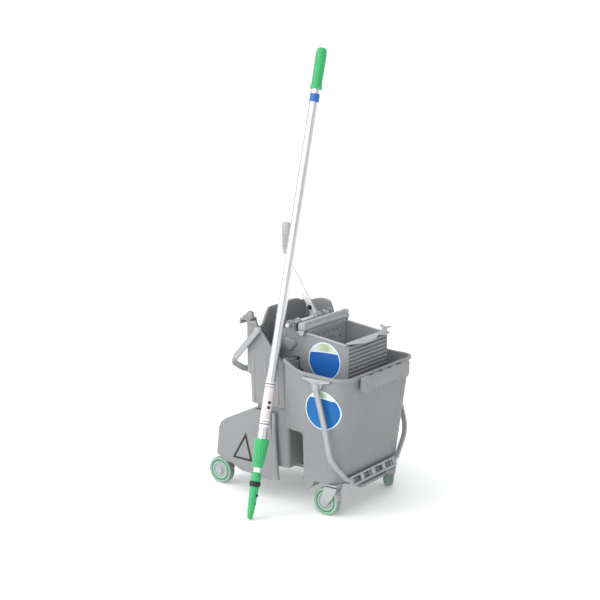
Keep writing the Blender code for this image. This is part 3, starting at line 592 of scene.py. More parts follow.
def make_wheel(name):
    """A crowned tyre, a ring at its root painted dark green as the shade inside its groove, and a dished,
    ribbed hub.
    """
    tyre, hub = name + "_tyre", name + "_hub"
    centre, axle = joint_moving(tyre)
    start = centre - axle * TYRE_WIDTH / 2

    def ring(profile):
        return turned_ring(start, axle, profile, 72)

    wall = [(2.5, BAND_R), (0.8, BAND_R + 1.2), (0.2, 32.0), (0.9, 35.2), (2.4, 36.6), (4.0, 36.8)]
    piece(tyre + "_fine", ring(mirrored(wall)), tyre, angle=50)
    tread = [(2.9, 36.2), (3.1, 36.9), (4.4, 37.3)]
    tread = tread + [(TYRE_WIDTH / 2, WHEEL_R)] + mirrored(tread)[3:]
    detail(name + "_tread", ring(tread), tyre, "tread_grey", angle=50)
    mint = [(3.4, 20.3), (1.6, 21.2), (1.1, 23.0), (1.5, 24.8), (2.6, 25.5), (8.0, 25.5), (8.0, 20.3)]
    far_mint = [(TYRE_WIDTH - along, radius) for along, radius in mint]
    detail(name + "_hub_ring", [ring(mint), ring(far_mint)], hub, "hub_mint", angle=40)
    # the recessed ring round the hub gets a dark green look, painted shade for its groove
    band = [(2.4, 25.6), (2.0, 26.4), (2.3, 27.6), (3.2, BAND_R - 0.1)]
    detail(name + "_band", ring(mirrored(band)), tyre, "tyre_dark", angle=50)
    proud = 0.9 if name.startswith("caster") else 2.7
    dish = [(-proud, 0.01), (-proud + 0.15, 5.0), (-proud + 0.9, 7.4), (1.6, 8.2), (2.4, 9.0),
            (4.4, 10.6), (4.8, 12.0), (4.6, 20.6), (4.6, 25.4)]
    shapes = [turned(start, axle, mirrored(dish), 64)]
    _, side_a, side_b = axes_for(axle)
    for a in angles(6, 0.5):
        out = side_a * cos(a) + side_b * sin(a)
        across = axle.cross(out)
        corners = ((-1.3, -7.2), (1.3, -7.2), (1.3, 7.2), (-1.3, 7.2))
        shapes.append(loft([[centre + out * along + across * p + axle * q for p, q in corners]
                            for along in (10.0, 15.5, 21.5)]))
    piece(hub + "_fine", shapes, hub, angle=40)


def make_fork(name):
    """A caster's moulded fork: two broad cheeks round the axle and a hood over the tyre."""
    centre, axle = joint_moving(name + "_tyre")
    ahead = joint_moving(name + "_fork")[0] - centre
    ahead = Vector((ahead.x, ahead.y, 0)).normalized()

    def layer(pairs, depth):
        return [centre + ahead * a + Vector((0, 0, b)) + axle * depth for a, b in pairs]

    cheek = arc_points(0, 0, 11.0, 165, 318, 12)
    cheek += [(17, 3.5), (26, 15), (33, 27), (37.5, 37), (38.5, 43.4), (1, 43.4), (-1.5, 34), (-6, 20),
              (-9.8, 8)]
    shapes = []
    for sign in (-1, 1):
        rings = []
        for depth, k in ((12.1, 1.0), (15.4, 1.0), (16.3, 0.975), (16.8, 0.93)):
            shrunk = [(10 + (a - 10) * k, b if b > 40 else 10 + (b - 10) * k) for a, b in cheek]
            rings.append(layer(shrunk, sign * depth))
        shapes.append(loft(rings))
    hood = arc_points(0, 0, 41.6, 12, 92, 20) + arc_points(0, 0, 38.7, 92, 12, 20)
    top = [(3, 40.2), (37, 40.2), (38.5, 41.5), (38.5, 43.4), (2, 43.4), (2, 41.5)]
    for outline, half in ((hood, 13.0), (top, 15.0)):
        shapes.append(loft([layer(outline, depth) for depth in (-half, half)]))
    piece(name + "_fork_fine", shapes, name + "_fork", bevel=0.8, angle=32)


# ---- front bucket

def front_share(z):
    return (z - FRONT_FLOOR_Z) / (FRONT_RIM_Z - FRONT_FLOOR_Z)


def front_half(z):
    return FRONT_HALF_LOW + front_share(z) * (FRONT_HALF_TOP - FRONT_HALF_LOW)


def front_end_x(z):
    return FRONT_END_LOW_X + front_share(z) * (FRONT_END_TOP_X - FRONT_END_LOW_X)


def front_radius(z):
    return 42.0 - 4.0 * front_share(z)


def front_lift(x, y):
    """How far the rim climbs towards the rear bucket and at its back corners."""
    share = min(max((FRONT_END_TOP_X - 60.0 - x) / 140.0, 0.0), 1.0)
    return 8.0 * share + 18.0 * smoothstep(-x, 70, 120) * smoothstep(abs(y), 104, 146)


def front_ring(z, back_x, grow=0.0, drop=None, pinch=PINCH):
    """One level of the tub; the sides step in a little behind the leg."""
    radius = front_radius(z) + grow
    half = front_half(z) + grow
    outline = rounded_outline(back_x - grow, front_end_x(z) + grow, -half, half,
                              (radius, radius, 14.0 + grow, 14.0 + grow), 12, 23)
    ring = []
    for x, y in outline:
        inward = pinch * smoothstep(-x, -FRONT_LEG_X - 5, -FRONT_LEG_X + 3)
        y -= copysign(min(inward, abs(y)), y) if abs(y) > 90 else 0.0
        level = z if drop is None else FRONT_RIM_Z + front_lift(x, y) + drop
        ring.append((x, y, level))
    return ring


def make_front_bucket():
    step = FRONT_STEP_Z
    leg, back = FRONT_LEG_X, FRONT_BACK_X
    rings = []
    for rise, grow in ((0.0, -3.0), (0.5, -1.6), (1.6, -0.5), (3.4, 0.0)):
        rings.append(front_ring(FRONT_FLOOR_Z + rise, leg, grow, pinch=0.0))
    rings.append(front_ring(150.0, leg, pinch=0.0))
    for z, back_x in ((step - 12, leg), (step - 6, leg - 4), (step - 2.5, leg - 14),
                      (step - 0.5, leg - 30), (step + 0.6, back + 12), (step + 3.0, back + 3.5),
                      (step + 8.0, back)):
        rings.append(front_ring(z, back_x, pinch=PINCH * smoothstep(z, step - 12, step + 6)))
    rings.append(front_ring(300.0, back))
    under = RIM_HEIGHT
    for grow, drop in ((0.0, -under - 4), (0.3, -under - 1.2), (1.2, -under), (3.4, -under + 0.2),
                       (4.0, -under + 1.2), (4.0, -1.6), (3.5, -0.5), (2.4, 0.0), (-2.4, 0.0),
                       (-3.6, -0.6), (-4.0, -2.0), (-4.0, -30.0)):
        rings.append(front_ring(FRONT_RIM_Z + min(drop, 0.0), back, grow, drop))
    inner = -WALL
    rings.append(front_ring(300.0, back, inner))
    for z, back_x in ((step + 13, back), (step + 8, back + 4), (step + 4, back + 12),
                      (step + 3.4, leg - 22), (step + 1, leg - 8), (step - 5, leg - 1.5),
                      (step - 14, leg)):
        rings.append(front_ring(z, back_x, inner, pinch=PINCH * smoothstep(z, step - 12, step + 6)))
    for rise, grow in ((14.0, -4.0), (8.0, -5.0), (5.0, -8.0), (4.0, -14.0)):
        rings.append(front_ring(FRONT_FLOOR_Z + rise, leg, grow, pinch=0.0))
    piece("front_bucket_shell", loft(rings), "front_bucket", angle=50)

    # raised fillets where the flat panels meet the corners
    for sign in (-1, 1):
        path = [(front_end_x(z) - 0.6, sign * (front_half(z) - 62 + 22 * front_share(z)), z)
                for z in (112, 160, 220, 290, 352)]
        bead = bar(smooth_path(path, 6), 7.0, 3.0, 2.2, 14)
        detail("front_corner_bead_" + ("near" if sign < 0 else "far"), bead, "front_bucket", angle=60)


def make_bail_ears():
    """Wishbone gussets: two curved arms run up from each pin to the rim."""
    x, z = BAIL_PIVOT
    wall = front_half(z + 14) + 0.2
    depth = BAIL_ARM_Y - 3.7 - wall
    plate = [(x - 46, z + 20), (x - 30, z + 15), (x - 18, z + 7), (x - 11, z - 4), (x - 8, z - 12),
             (x + 8, z - 12), (x + 11, z - 4), (x + 16, z + 7), (x + 28, z + 15), (x + 42, z + 19)]
    boss = [(0, 10.5), (depth + 0.6, 9.8), (depth + 1.2, 8.8), (depth + 1.2, 4.0), (depth + 7.0, 4.0),
            (depth + 7.0, 7.0), (depth + 9.2, 7.0), (depth + 10.0, 5.6), (depth + 10.4, 0.01)]
    for side, sign in (("near", -1), ("far", 1)):
        shapes = []
        for reach, climb in ((-44, 18.5), (40, 17.0)):
            path = at_side(sign * (wall + depth / 2), [
                (x, z - 5), (x + reach * 0.06, z + 3), (x + reach * 0.30, z + 10),
                (x + reach * 0.62, z + 14.0), (x + reach, z + climb)])
            shapes.append(bar(smooth_path(path, 7), depth, 6.5, 3.5, 16))
        shapes.append(flank_prism(plate, sign, wall, wall + depth * 0.75))
        shapes.append(turned((x, sign * (wall - 1.5), z), (0, sign, 0), boss))
        piece("bail_ear_" + side + "_fine", shapes, "bail_ear_" + side, "pale_grey", angle=40)


def make_pour_lip():
    """The hollow lip over the pouring end: pockets along its top, a scalloped foot."""
    back, front = FRONT_END_TOP_X + 4.3, FRONT_END_TOP_X + 17.3
    near, far = -108.0, 112.0
    top, foot, pitch, count = 376.0, 334.0, 22.0, 160
    outline = []
    for i in range(count + 1):
        y = near + (far - near) * i / count
        inside = smoothstep(abs(y), 82.0, 74.0) if abs(y) > 74 else 1.0
        scallop = 5.0 * inside * (0.5 + 0.5 * cos((y / pitch) * 2 * pi)) ** 0.7
        corner = 7.0 * (smoothstep(y, near + 9, near) + smoothstep(y, far - 9, far))
        outline.append((y, foot + scallop + corner))
    outline += [(far, top - 1.5), (far - 5, top + 0.5), (near + 5, top + 0.5), (near, top - 1.5)]
    rings = []
    for x, shrink in ((back, 0.0), (front - 2.5, 0.0), (front - 0.7, 0.6), (front, 1.8)):
        rings.append([(x, 2 + (y - 2) * (1 - shrink / 110), 355 + (z - 355) * (1 - shrink / 21))
                      for y, z in outline])
    lip = piece("pour_lip_fine", loft(rings), "pour_lip", angle=40)
    for y in (-66.0, -22.0, 22.0, 66.0):
        pocket = rounded_outline(back + 2.6, front - 3.0, y - 11, y + 11, (2.4,) * 4, 5)
        cut_with(lip, prism(pocket, "z", top - 12, top + 6), "pocket")
    # a drip ledge joins the lip's head to the rim
    ledge = rounded_outline(FRONT_END_TOP_X - 1.0, back + 2.0, near + 2, far - 2, (1.0,) * 4, 3)
    detail("pour_lip_ledge", prism(ledge, "z", top - 1.0, top + 2.6), "pour_lip", bevel=0.8)
    # flutes down the face
    shapes = []
    for i in range(6):
        path = at_side((i - 2.5) * pitch, [(front - 1.2, z) for z in (343, 350, 358, 364)])
        shapes.append(bar(path, 5.5, 2.0, 2.0, 12))
    detail("pour_lip_ribs", shapes, "pour_lip", angle=60)


def make_skirts():
    """The stepped beam and the keel between the casters, with rounded undersides."""
    x = FRONT_LEG_X
    wedge = [(x + 0.3, 93), (x + 0.3, 83), (x + 4, 77), (x + 15, 70.5), (x + 21, 69.2), (x + 27, 70.6),
             (x + 34, 79), (x + 40, 93)]
    piece("skirt_beam_fine", prism(wedge, "y", -156.9, 156.9), "skirt_beam", bevel=0.9)
    keel = [(-14, 91), (-13, 82), (-8, 75), (4, 67.5), (20, 63), (40, 60), (52, 60), (58, 63), (59, 70),
            (52, 74), (46, 78), (43, 91)]
    rings = []
    for y, shrink in ((-58, 0.90), (-55, 0.97), (-48, 1.0), (48, 1.0), (55, 0.97), (58, 0.90)):
        rings.append(at_side(y, [(20 + (px - 20) * (0.6 + 0.4 * shrink), 91 - (91 - pz) * shrink)
                                 for px, pz in keel]))
    piece("front_keel_fine", loft(rings), "front_keel", bevel=1.5)
    half = [(-112, 92), (-112, 84.5), (-82, 80), (-62, 66), (-56, 62)]
    apron = half + [(-y, z) for y, z in reversed(half)]
    detail("front_apron", prism(apron, "x", 37, 48.5), "front_keel", bevel=1.6)


# ---- rear bucket

def rear_rim_z(x, y):
    """The rim rises backwards, dips by the hook and carries a lobed splash guard."""
    side = REAR_RIM_FRONT_Z + (REAR_RIM_BACK_Z - REAR_RIM_FRONT_Z) * smoothstep(
        REAR_FRONT_X - 8.0 - x, -14.0, 110.0)
    on_far = smoothstep(y, 104, 116)
    guard = 496.0 + 7.0 * lobe(x, -240, -176)
    far = side + (guard - side) * smoothstep(-x, 146.0, 182.0)
    if x < REAR_BACK_X + 40.0 and y < 112:
        if y < -84:
            back = REAR_RIM_BACK_Z - (REAR_RIM_BACK_Z - 458.0) * smoothstep(y, -98, -82)
        else:
            back = 458.0 + 46.0 * smoothstep(y, -72, -33) + 7.0 * lobe(y, 44, 132)
        back -= 8.0 * smoothstep(y, 20, 110)
        return back + (far - back) * on_far
    return side + (far - side) * on_far


def lobe(value, low, high):
    if not low < value < high:
        return 0.0
    return sin(pi * (value - low) / (high - low)) ** 0.8


def rear_ring(z, back_x, half, grow=0.0, follow=None, flute=1.0):
    outline = rounded_outline(back_x - grow, REAR_FRONT_X + grow, -half - grow, half + grow,
                              (8.0 + grow, 8.0 + grow, 18.0 + grow, 14.0 + grow), 10, 31)
    ring = []
    for x, y in outline:
        out_y = 5.0 * flute * lobe(x, -238, -174) if y > half - 2 else 0.0
        out_x = 5.0 * flute * lobe(y, 40, 118) if x < back_x + 2 else 0.0
        level = z if follow is None else rear_rim_z(x, y) + follow
        ring.append((x - out_x, y + out_y, level))
    return ring


def make_rear_bucket():
    ledge, back = REAR_LEDGE_Z, REAR_BACK_X
    low, top = REAR_HALF_LOW, REAR_HALF_TOP
    shoulder = 341.0

    def plain(z, back_x, half, grow=0.0, flute=0.0):
        return rear_ring(z, back_x, half, grow, None, flute)

    floor = REAR_FLOOR_Z
    rings = [plain(*level) for level in (
        (floor, back + 24, low - 3, -8), (floor + 2, back + 24, low - 3, -3),
        (floor + 7, back + 24, low - 3, 0), (ledge - 6, back + 22, low + 1),
        (ledge - 2.5, back + 20, low + 3.5), (ledge - 0.8, back + 15, top - 8),
        (ledge + 1.5, back + 12, top - 4.6), (ledge + 5, back + 12, top - 4),
        (shoulder - 3, back + 10, top - 2), (shoulder, back + 8, top - 2), (shoulder + 2, back + 2, top - 2),
        (shoulder + 5, back, top - 1.8), (372, back, top - 1, 0, 0.6))]
    for grow, follow in ((0.0, -14.0), (0.2, -9.4), (2.4, -8.6), (3.0, -7.6), (3.0, -1.4), (2.4, -0.3),
                         (1.4, 0.0), (-2.6, 0.0), (-3.7, -0.5), (-4.0, -1.6), (-4.0, -16.0)):
        rings.append(rear_ring(0, back, top, grow, follow))
    rings += [plain(*level) for level in (
        (372, back, top - 1, -4, 0.6), (shoulder + 8, back, top - 2, -4),
        (shoulder + 4, back + 3, top - 2, -4), (shoulder, back + 10, top - 2, -4),
        (ledge + 8, back + 12, top - 4, -4), (ledge + 3.6, back + 16, top - 6, -5),
        (ledge - 1, back + 21, low + 2, -4), (floor + 12, back + 24, low - 3, -4),
        (floor + 5, back + 24, low - 3, -8))]
    piece("rear_bucket_shell", loft(rings), "rear_bucket", angle=50)
    # stiffening pleats down the near wall
    shapes = []
    for x in (-236, -196, -158):
        for inset, thick, levels in ((1.2, 3.0, (350, 372, 384)), (3.2, 3.4, (270, 300, 336))):
            path = [(x, -top + inset, z) for z in levels]
            shapes.append(bar(path, 9, thick, 2.2, 12, across=(1, 0, 0)))
    detail("rear_wall_pleats", shapes, "rear_bucket", angle=60)


def make_corner_hook():
    """The cord hook on the near back corner: a curled lip, a fin and its web."""
    z = REAR_RIM_BACK_Z + 0.3
    lip = [(-276, z - 12), (-276.5, z - 2), (-274, z + 3.5), (-268, z + 5.5), (-256, z + 4.6),
           (-241, z + 5.5), (-240, z + 2.0), (-242, z), (-266, z), (-270, z - 2), (-271, z - 12)]
    web = [(-272, z + 4), (-238, z + 4), (-236, z + 12), (-238, z + 21), (-244, z + 25),
           (-251, z + 24), (-256, z + 18), (-264, z + 12)]
    piece("corner_hook_fine", [prism(lip, "y", -146, -116), prism(web, "y", -142, -132)],
          "corner_hook", bevel=2.0, segments=4)


# ---- casing

def make_casing():
    """The hood over the rear wheels, with a rounded crown and a flared column."""
    refined("rear_casing", bevel=3.0, segments=4, angle=38)
    lower = [(-366, 99), (-345, 91), (-309, 79), (-286, 67.5), (-250, 64.5), (-216, 59.5), (-186, 59.5)]
    columns, lips = [], []
    for sign in (-1, 1):
        rings = []
        for x, z, width in ((-176, 243, 13), (-176, 200, 13), (-173, 150, 14), (-170, 100, 17),
                            (-168, 72, 21), (-167, 60, 26)):
            rings.append([(x + a - (width - 13) * 0.35, sign * (CASING_HALF - 3.4) + b, z)
                          for a, b in superellipse(width, 11, 2.6, 20)])
        columns.append(loft(rings))
        edge = smooth_path(at_side(sign * (CASING_HALF + 0.3), lower), 6)
        lips.append(bar(edge, 2.2, 6.0, 3.0, 12))
    # the columns at the hood's front edge, flared at their feet
    detail("casing_columns", columns, "rear_casing", angle=50)
    # the moulded lip along the hood's lower edge
    detail("casing_lip", lips, "rear_casing", angle=60)


# ---- wringer

def make_wringer():
    """The housing's rounded shell, its flanged mouth, corner posts and side skirts."""
    refined("wringer_housing", bevel=1.4, angle=28)
    half, top = WRING_HALF, WRING_TOP_Z
    mouth = [(-128, top - 1.4), (-100, top - 1.4), (WRING_SLOPE_X, top - 1.6), (-30, 456.4),
             (WRING_END_X - 1, WRING_END_Z - 1.4)]
    post = [(0, 9.0), (4, 11.0), (56, 11.0), (60, 9.6), (62, 7.0)]
    # the skirts straddle the two buckets' rims
    skirt = [(-177, 405), (-177, 373), (-171, 366), (-142, 366), (-138.5, 370), (-138.5, 398),
             (-117.5, 398), (-117.5, 370), (-114, 366), (-103, 366), (-103, 405)]
    flanges, posts, skirts = [], [], []
    for sign in (-1, 1):
        path = rounded_path(at_side(sign * (half - 1.2), mouth), 8)
        flanges.append(bar(path, 7.4, 4.2, 4.0, 16))
        posts.append(turned((WRING_BACK_X + 10, sign * (half - 9.5), 403), (0, 0, 1), post, 28))
        skirts.append(flank_prism(skirt, sign, half - 0.3, half - 4.3))
    detail("wringer_mouth_flange", flanges, "wringer_housing", "pale_grey", angle=40)
    detail("wringer_posts", posts, "wringer_housing", angle=40)
    detail("wringer_side_skirts", skirts, "wringer_housing", bevel=0.8)


def make_louvres():
    """Slanted slats on the wringer's end, each one lapping over the next."""
    back = WRING_END_X + 0.3
    top, foot, half, count = WRING_END_Z - 4.0, 352.0, WRING_HALF - 1.2, 9
    pitch = (top - foot) / count
    plate = [(back, 1 - half), (back + 1.8, 1 - half), (back + 1.8, half - 1), (back, half - 1)]
    shapes = [prism(plate, "z", foot, top)]
    for i in range(count):
        z = foot + i * pitch
        blade = [(back + 1.0, z + pitch), (back + 4.2, z + pitch - 0.3), (back + 5.8, z + pitch - 1.8),
                 (back + 7.0, z + 4.4), (back + 6.9, z + 3.3), (back + 6.0, z + 2.7), (back + 1.0, z + 2.7)]
        shapes.append(prism(blade, "y", -half, half))
    piece("wringer_slats", shapes, "wringer_louvres", angle=30, bevel=0.35, segments=2)
    cheek = [(back, foot - 1), (back + 4.6, foot - 1), (back + 5.4, foot + 4), (back + 5.4, top - 2),
             (back + 4.6, top + 1), (back, top + 1)]
    cheeks = [flank_prism(cheek, sign, half + 1.0, half - 3.2) for sign in (-1, 1)]
    detail("wringer_slat_cheeks", cheeks, "wringer_louvres", bevel=0.7)


def make_flap():
    """A thin leaf that curls over the slats, in two lobes, with its pull tab."""
    x, z = WRING_END_X, WRING_END_Z + 1.1
    rows = []
    steps = 64
    for i in range(steps + 1):
        y = -90.0 + 180.0 * i / steps
        reach = 22.0 * lobe(y, -96, 60) ** 0.9 if y < 48 else 0.0
        reach = max(reach, 18.0 * lobe(y, 36, 118) ** 0.7, 3.0)
        droop = 0.010 * reach * reach
        upper = [(x - 3.5 + (reach + 3.5) * part, z + 3.3 - droop * part * part)
                 for part in (0.0, 0.3, 0.6, 0.85, 1.0)]
        lower = [(px, pz - 3.2 + 0.8 * k / 4) for k, (px, pz) in enumerate(upper)]
        rows.append(at_side(y, upper + list(reversed(lower))))
    stem = [(x + 2, 80, z + 1), (x + 4, 81.5, z + 7), (x + 6, 83, z + 14)]
    head = at_side(83, [(x - 8, z + 17.6), (x - 3, z + 15.2), (x + 6, z + 14.4), (x + 15, z + 15.0),
                        (x + 20, z + 17.2)])
    piece("wringer_leaf", [loft(rows), bar(stem, 15, 6, 3.0, 16, across=(1, 0, 0)),
                           bar(smooth_path(head, 4), 14, 4.4, 3.4, 18)],
          "wringer_flap", angle=45)


def make_bosses():
    """Domed three-sided covers on the wringer's flanks."""
    for side, sign in (("near", -1), ("far", 1)):
        rings = []
        for depth, scale in ((0.3, 1.06), (2.0, 1.04), (5.5, 0.98), (7.8, 0.90), (9.0, 0.76), (9.0, 0.2)):
            ring = []
            for a in angles(60):
                radius = 20.5 / (1 + 0.30 * (cos(3 * (a - radians(80))) + 1) / 2) * scale
                ring.append((-146 + radius * cos(a), 431 + radius * sin(a)))
            rings.append(at_side(sign * (WRING_HALF + depth), ring))
        piece("wringer_boss_" + side + "_fine", loft(rings), "wringer_boss_" + side, angle=50)


def make_press():
    """The sliding beam as a rounded channel with its end blocks, and the drilled plate."""
    z, b = 472.0, BEAM_X
    section = [(b - 9, z + 0.5), (b - 7.5, z), (b + 9.5, z), (b + 11, z + 1.5), (b + 11, z + 6),
               (b + 9.6, z + 8), (b + 5.6, z + 9.6), (b + 4.4, z + 11.5), (b + 4.2, z + 17.5),
               (b + 2.2, z + 20), (b - 6.5, z + 20), (b - 9, z + 17.5)]
    foot = [(b - 9, z + 4), (b - 8.4, z - 11), (b - 5.5, z - 13.5), (b + 4, z - 13.5), (b + 6.6, z - 11),
            (b + 11, z + 4)]
    feet = [flank_prism(foot, sign, WRING_HALF + 5, BEAM_HALF) for sign in (-1, 1)]
    piece("press_beam_fine", [prism(section, "y", -BEAM_HALF, BEAM_HALF), *feet], "press_beam",
          bevel=1.0, angle=28)
    knob = [(0, 6.5), (9, 6.2), (12.2, 5.0), (13.4, 2.6)]
    shapes = [turned((b + x, sign * (BEAM_HALF - 6), z + 9), (0, 0, 1), knob, 24)
              for sign, x in ((1, 5), (1, -1), (-1, 5))]
    rib = [(b + 7.6, y, z + 8.4) for y in (-98, 0, 98)]
    shapes.append(bar(rib, 3.0, 3.0, 2.0, 12, across=(1, 0, 0)))
    detail("press_beam_knobs", shapes, "press_beam", angle=40)
    refined("press_plate", bevel=0.7, segments=2, angle=40)


# ---- bails

def channel(width, thickness, lip=1.6, depth=1.1):
    """A strap's section: two raised borders with a shallow channel between them, both sides."""
    w, t = width / 2, thickness / 2
    half = [(-w, -t * 0.55), (-w + 0.7, -t), (-w + lip, -t), (-w + lip + 0.8, -t + depth),
            (w - lip - 0.8, -t + depth), (w - lip, -t), (w - 0.7, -t), (w, -t * 0.55)]
    return half + [(-x, -y) for x, y in half]


def bail_arms(pivot, arm, bend, section, across, end_y, end, sides, make_end):
    """Both arms of a bail, each with the eye or boss at its pivot."""
    x, z = pivot
    shapes = []
    for sign in (1, -1):
        path = rounded_path([(px, sign * py, pz) for px, py, pz in arm], bend, 7)
        shapes.append(sweep(path, section, across))
        shapes.append(make_end((x, -sign * end_y, z), (0, -sign, 0), end, sides))
    return shapes


def make_front_bail():
    x, z = BAIL_PIVOT
    arm = [(x, -BAIL_ARM_Y, z), (x + 3, -BAIL_ARM_Y, z - 14), (20, -181, 255), (39, -184, 174),
           (46, -170, 149), (52, -124, 101), (53.5, -104, 92)]
    eye = [(0, 9.0), (0.8, 9.6), (6.4, 9.6), (7.3, 9.0), (7.3, 7.6), (6.6, 7.4), (6.6, 4.3), (0, 4.3)]
    shapes = bail_arms(BAIL_PIVOT, arm, 16, channel(13.5, 7), (0.97, 0, 0.25), BAIL_ARM_Y - 3.5, eye, 44,
                       turned_ring)
    piece("front_bail_strap", shapes, "front_bail", angle=40)
    across = Vector((0.30, 0, -0.95)).normalized()
    middle = Vector((54, 0, 91))
    out = across.cross(Vector((0, 1, 0)))

    def rung(y, reach, width, deep, power, count):
        path = [middle + across * k + Vector((0, y, 0)) for k in (-reach, 0, reach)]
        return bar(path, width, deep, power, count)

    shapes = []
    for offset in (-10.2, 10.2):
        rail = [middle + across * offset + Vector((0, y, 0)) for y in (-111, -104, 0, 104, 111)]
        shapes.append(bar(rail, 5.6, 9.4, 3.2, 18, across=across))
    shapes += [rung(y, 9, 12.5, 7.6, 3.4, 18) for y in (-104, -52, 0, 52, 104)]
    middle = middle - out * 1.6
    shapes += [rung(y, 8.5, 3.2, 3.4, 3.0, 12) for y in (-91, -13, 13, 91)]
    detail("front_bail_ladder", shapes, "front_bail", angle=45)


def make_rear_bail():
    x, z = REAR_PIVOT
    y0 = REAR_ARM_Y
    arm = [(x, -y0, z), (x - 10, -y0, z - 12), (-252, -y0, 423), (-290, -y0, 380),
           (-294, -146, 368), (-291, -112, 346), (-290, -90, 340), (-290, 0, 340)]
    boss = [(0, 7.6), (0.6, 8.4), (9.8, 8.6), (11.0, 8.0), (11.7, 6.4), (11.7, 0.01)]
    shapes = bail_arms(REAR_PIVOT, arm, 14, channel(15.5, 8.6), (0.5, 0, 0.86), REAR_HALF_TOP + 3.4, boss,
                       36, turned)
    grip = [(-290, y, 340) for y in (-94, -60, 0, 60, 94)]
    shapes.append(bar(grip, 20.5, 10.5, 3.0, 24, across=(0, 0, 1)))
    piece("rear_bail_strap", shapes, "rear_bail", angle=42)


# ---- labels

def front_wall(x, z):
    """Half the tub's width at a point of its side, following the corner's curve."""
    radius = front_radius(z)
    past = min(max(x - front_end_x(z) + radius, 0.0), radius)
    return front_half(z) - radius + sqrt(radius * radius - past * past)


def make_labels():
    blues = {"bucket_label": (0.67, -0.05, (0.010, 0.115, 0.36), (0.009, 0.145, 0.42)),
             "wringer_label": (0.52, 0.04, (0.017, 0.115, 0.42), (0.018, 0.125, 0.46))}
    for name, x0, z0, size, wall in (("bucket_label", 4.0, 289.0, 52.0, front_wall),
                                     ("wringer_label", -38.0, 398.0, 50.0, lambda x, z: WRING_HALF)):
        rings = []
        for share, proud in ((0.004, 1.1), (0.25, 1.1), (0.5, 1.1), (0.75, 1.1), (0.9, 1.1),
                             (0.985, 1.1), (1.0, 0.8), (1.0, 0.1)):
            ring = []
            for a in angles(96):
                x, z = x0 + size * share * cos(a), z0 + size * share * sin(a)
                ring.append((x, -wall(x, z) - proud, z))
            rings.append(ring)
        film = name + "_print"
        LOOKS[film] = printed_film(film, tuple(world((x0, 0, z0))), size * MM, *blues[name])
        piece(name + "_fine", loft(rings), name, film, angle=60)


# ---- lever

def lever_at(distance):
    """A point on the lever's centre line: it leans back, then stands up at the bend."""
    lean, leaning = radians(LEVER_LEAN), min(distance, LEVER_BEND)
    return Vector((SHAFT_X - leaning * sin(lean), LEVER_Y,
                   SHAFT_Z + leaning * cos(lean) + distance - leaning))


def make_lever():
    lean = radians(LEVER_LEAN)
    across_bar = Vector((cos(lean), 0, sin(lean)))
    up = Vector((0, 0, 1))
    arm = rounded_path([lever_at(d) for d in (17.5, LEVER_BEND, LEVER_LENGTH - 70)], 20, 8)
    piece("lever_bar", bar(arm, 18.4, 5.2, 8.0, 24, across=across_bar), "lever_arm", angle=40)
    grip_from = LEVER_LENGTH - 84
    rings = []
    for along, wide, deep in ((0, 9.0, 7.4), (3, 10.6, 8.4), (8, 11.2, 8.8), (38, 11.8, 9.0),
                              (62, 13.4, 10.0), (76, 13.6, 10.2), (83, 11.6, 8.6), (86, 7.0, 5.4)):
        centre = lever_at(grip_from + along)
        rings.append([centre + Vector((a, b, 0)) for a, b in superellipse(2 * wide, 2 * deep, 2.6, 32)])
    shapes = [loft(rings)]
    ridge = [(0, 9.0), (0.2, 12.3), (1.1, 12.7), (2.0, 12.3), (2.2, 9.0)]
    for along in (22, 32, 42, 52):
        shapes.append(turned_ring(lever_at(grip_from + along) - up * 1.1, up, ridge, 40))
    piece("lever_handle", shapes, "lever_grip", angle=45)
    refined("lever_clamp")
    bolt = lever_at(29)
    shapes = []
    for sign in (-1, 1):
        for proud, profile, sides in ((6.6, [(0, 5.6), (3.2, 5.6), (3.9, 4.6)], 6),
                                      (6.4, [(0, 6.8), (0.9, 6.8)], 28)):
            shapes.append(turned(bolt + Vector((0, sign * proud, 0)), (0, sign, 0), profile, sides))
    shapes.append(turned(bolt - Vector((0, 10, 0)), (0, 1, 0), [(0, 2.9), (20, 2.9)], 20))
    piece("lever_bolt_fine", shapes, "lever_bolt", angle=30)
    half = 108.0
    shaft = [(0, 4.4), (1.4, 5.9), (half * 2 - 1.4, 5.9), (half * 2, 4.4)]
    piece("press_shaft_fine", turned((SHAFT_X, -half, SHAFT_Z), (0, 1, 0), shaft), "press_shaft", angle=40)


# ---- pole

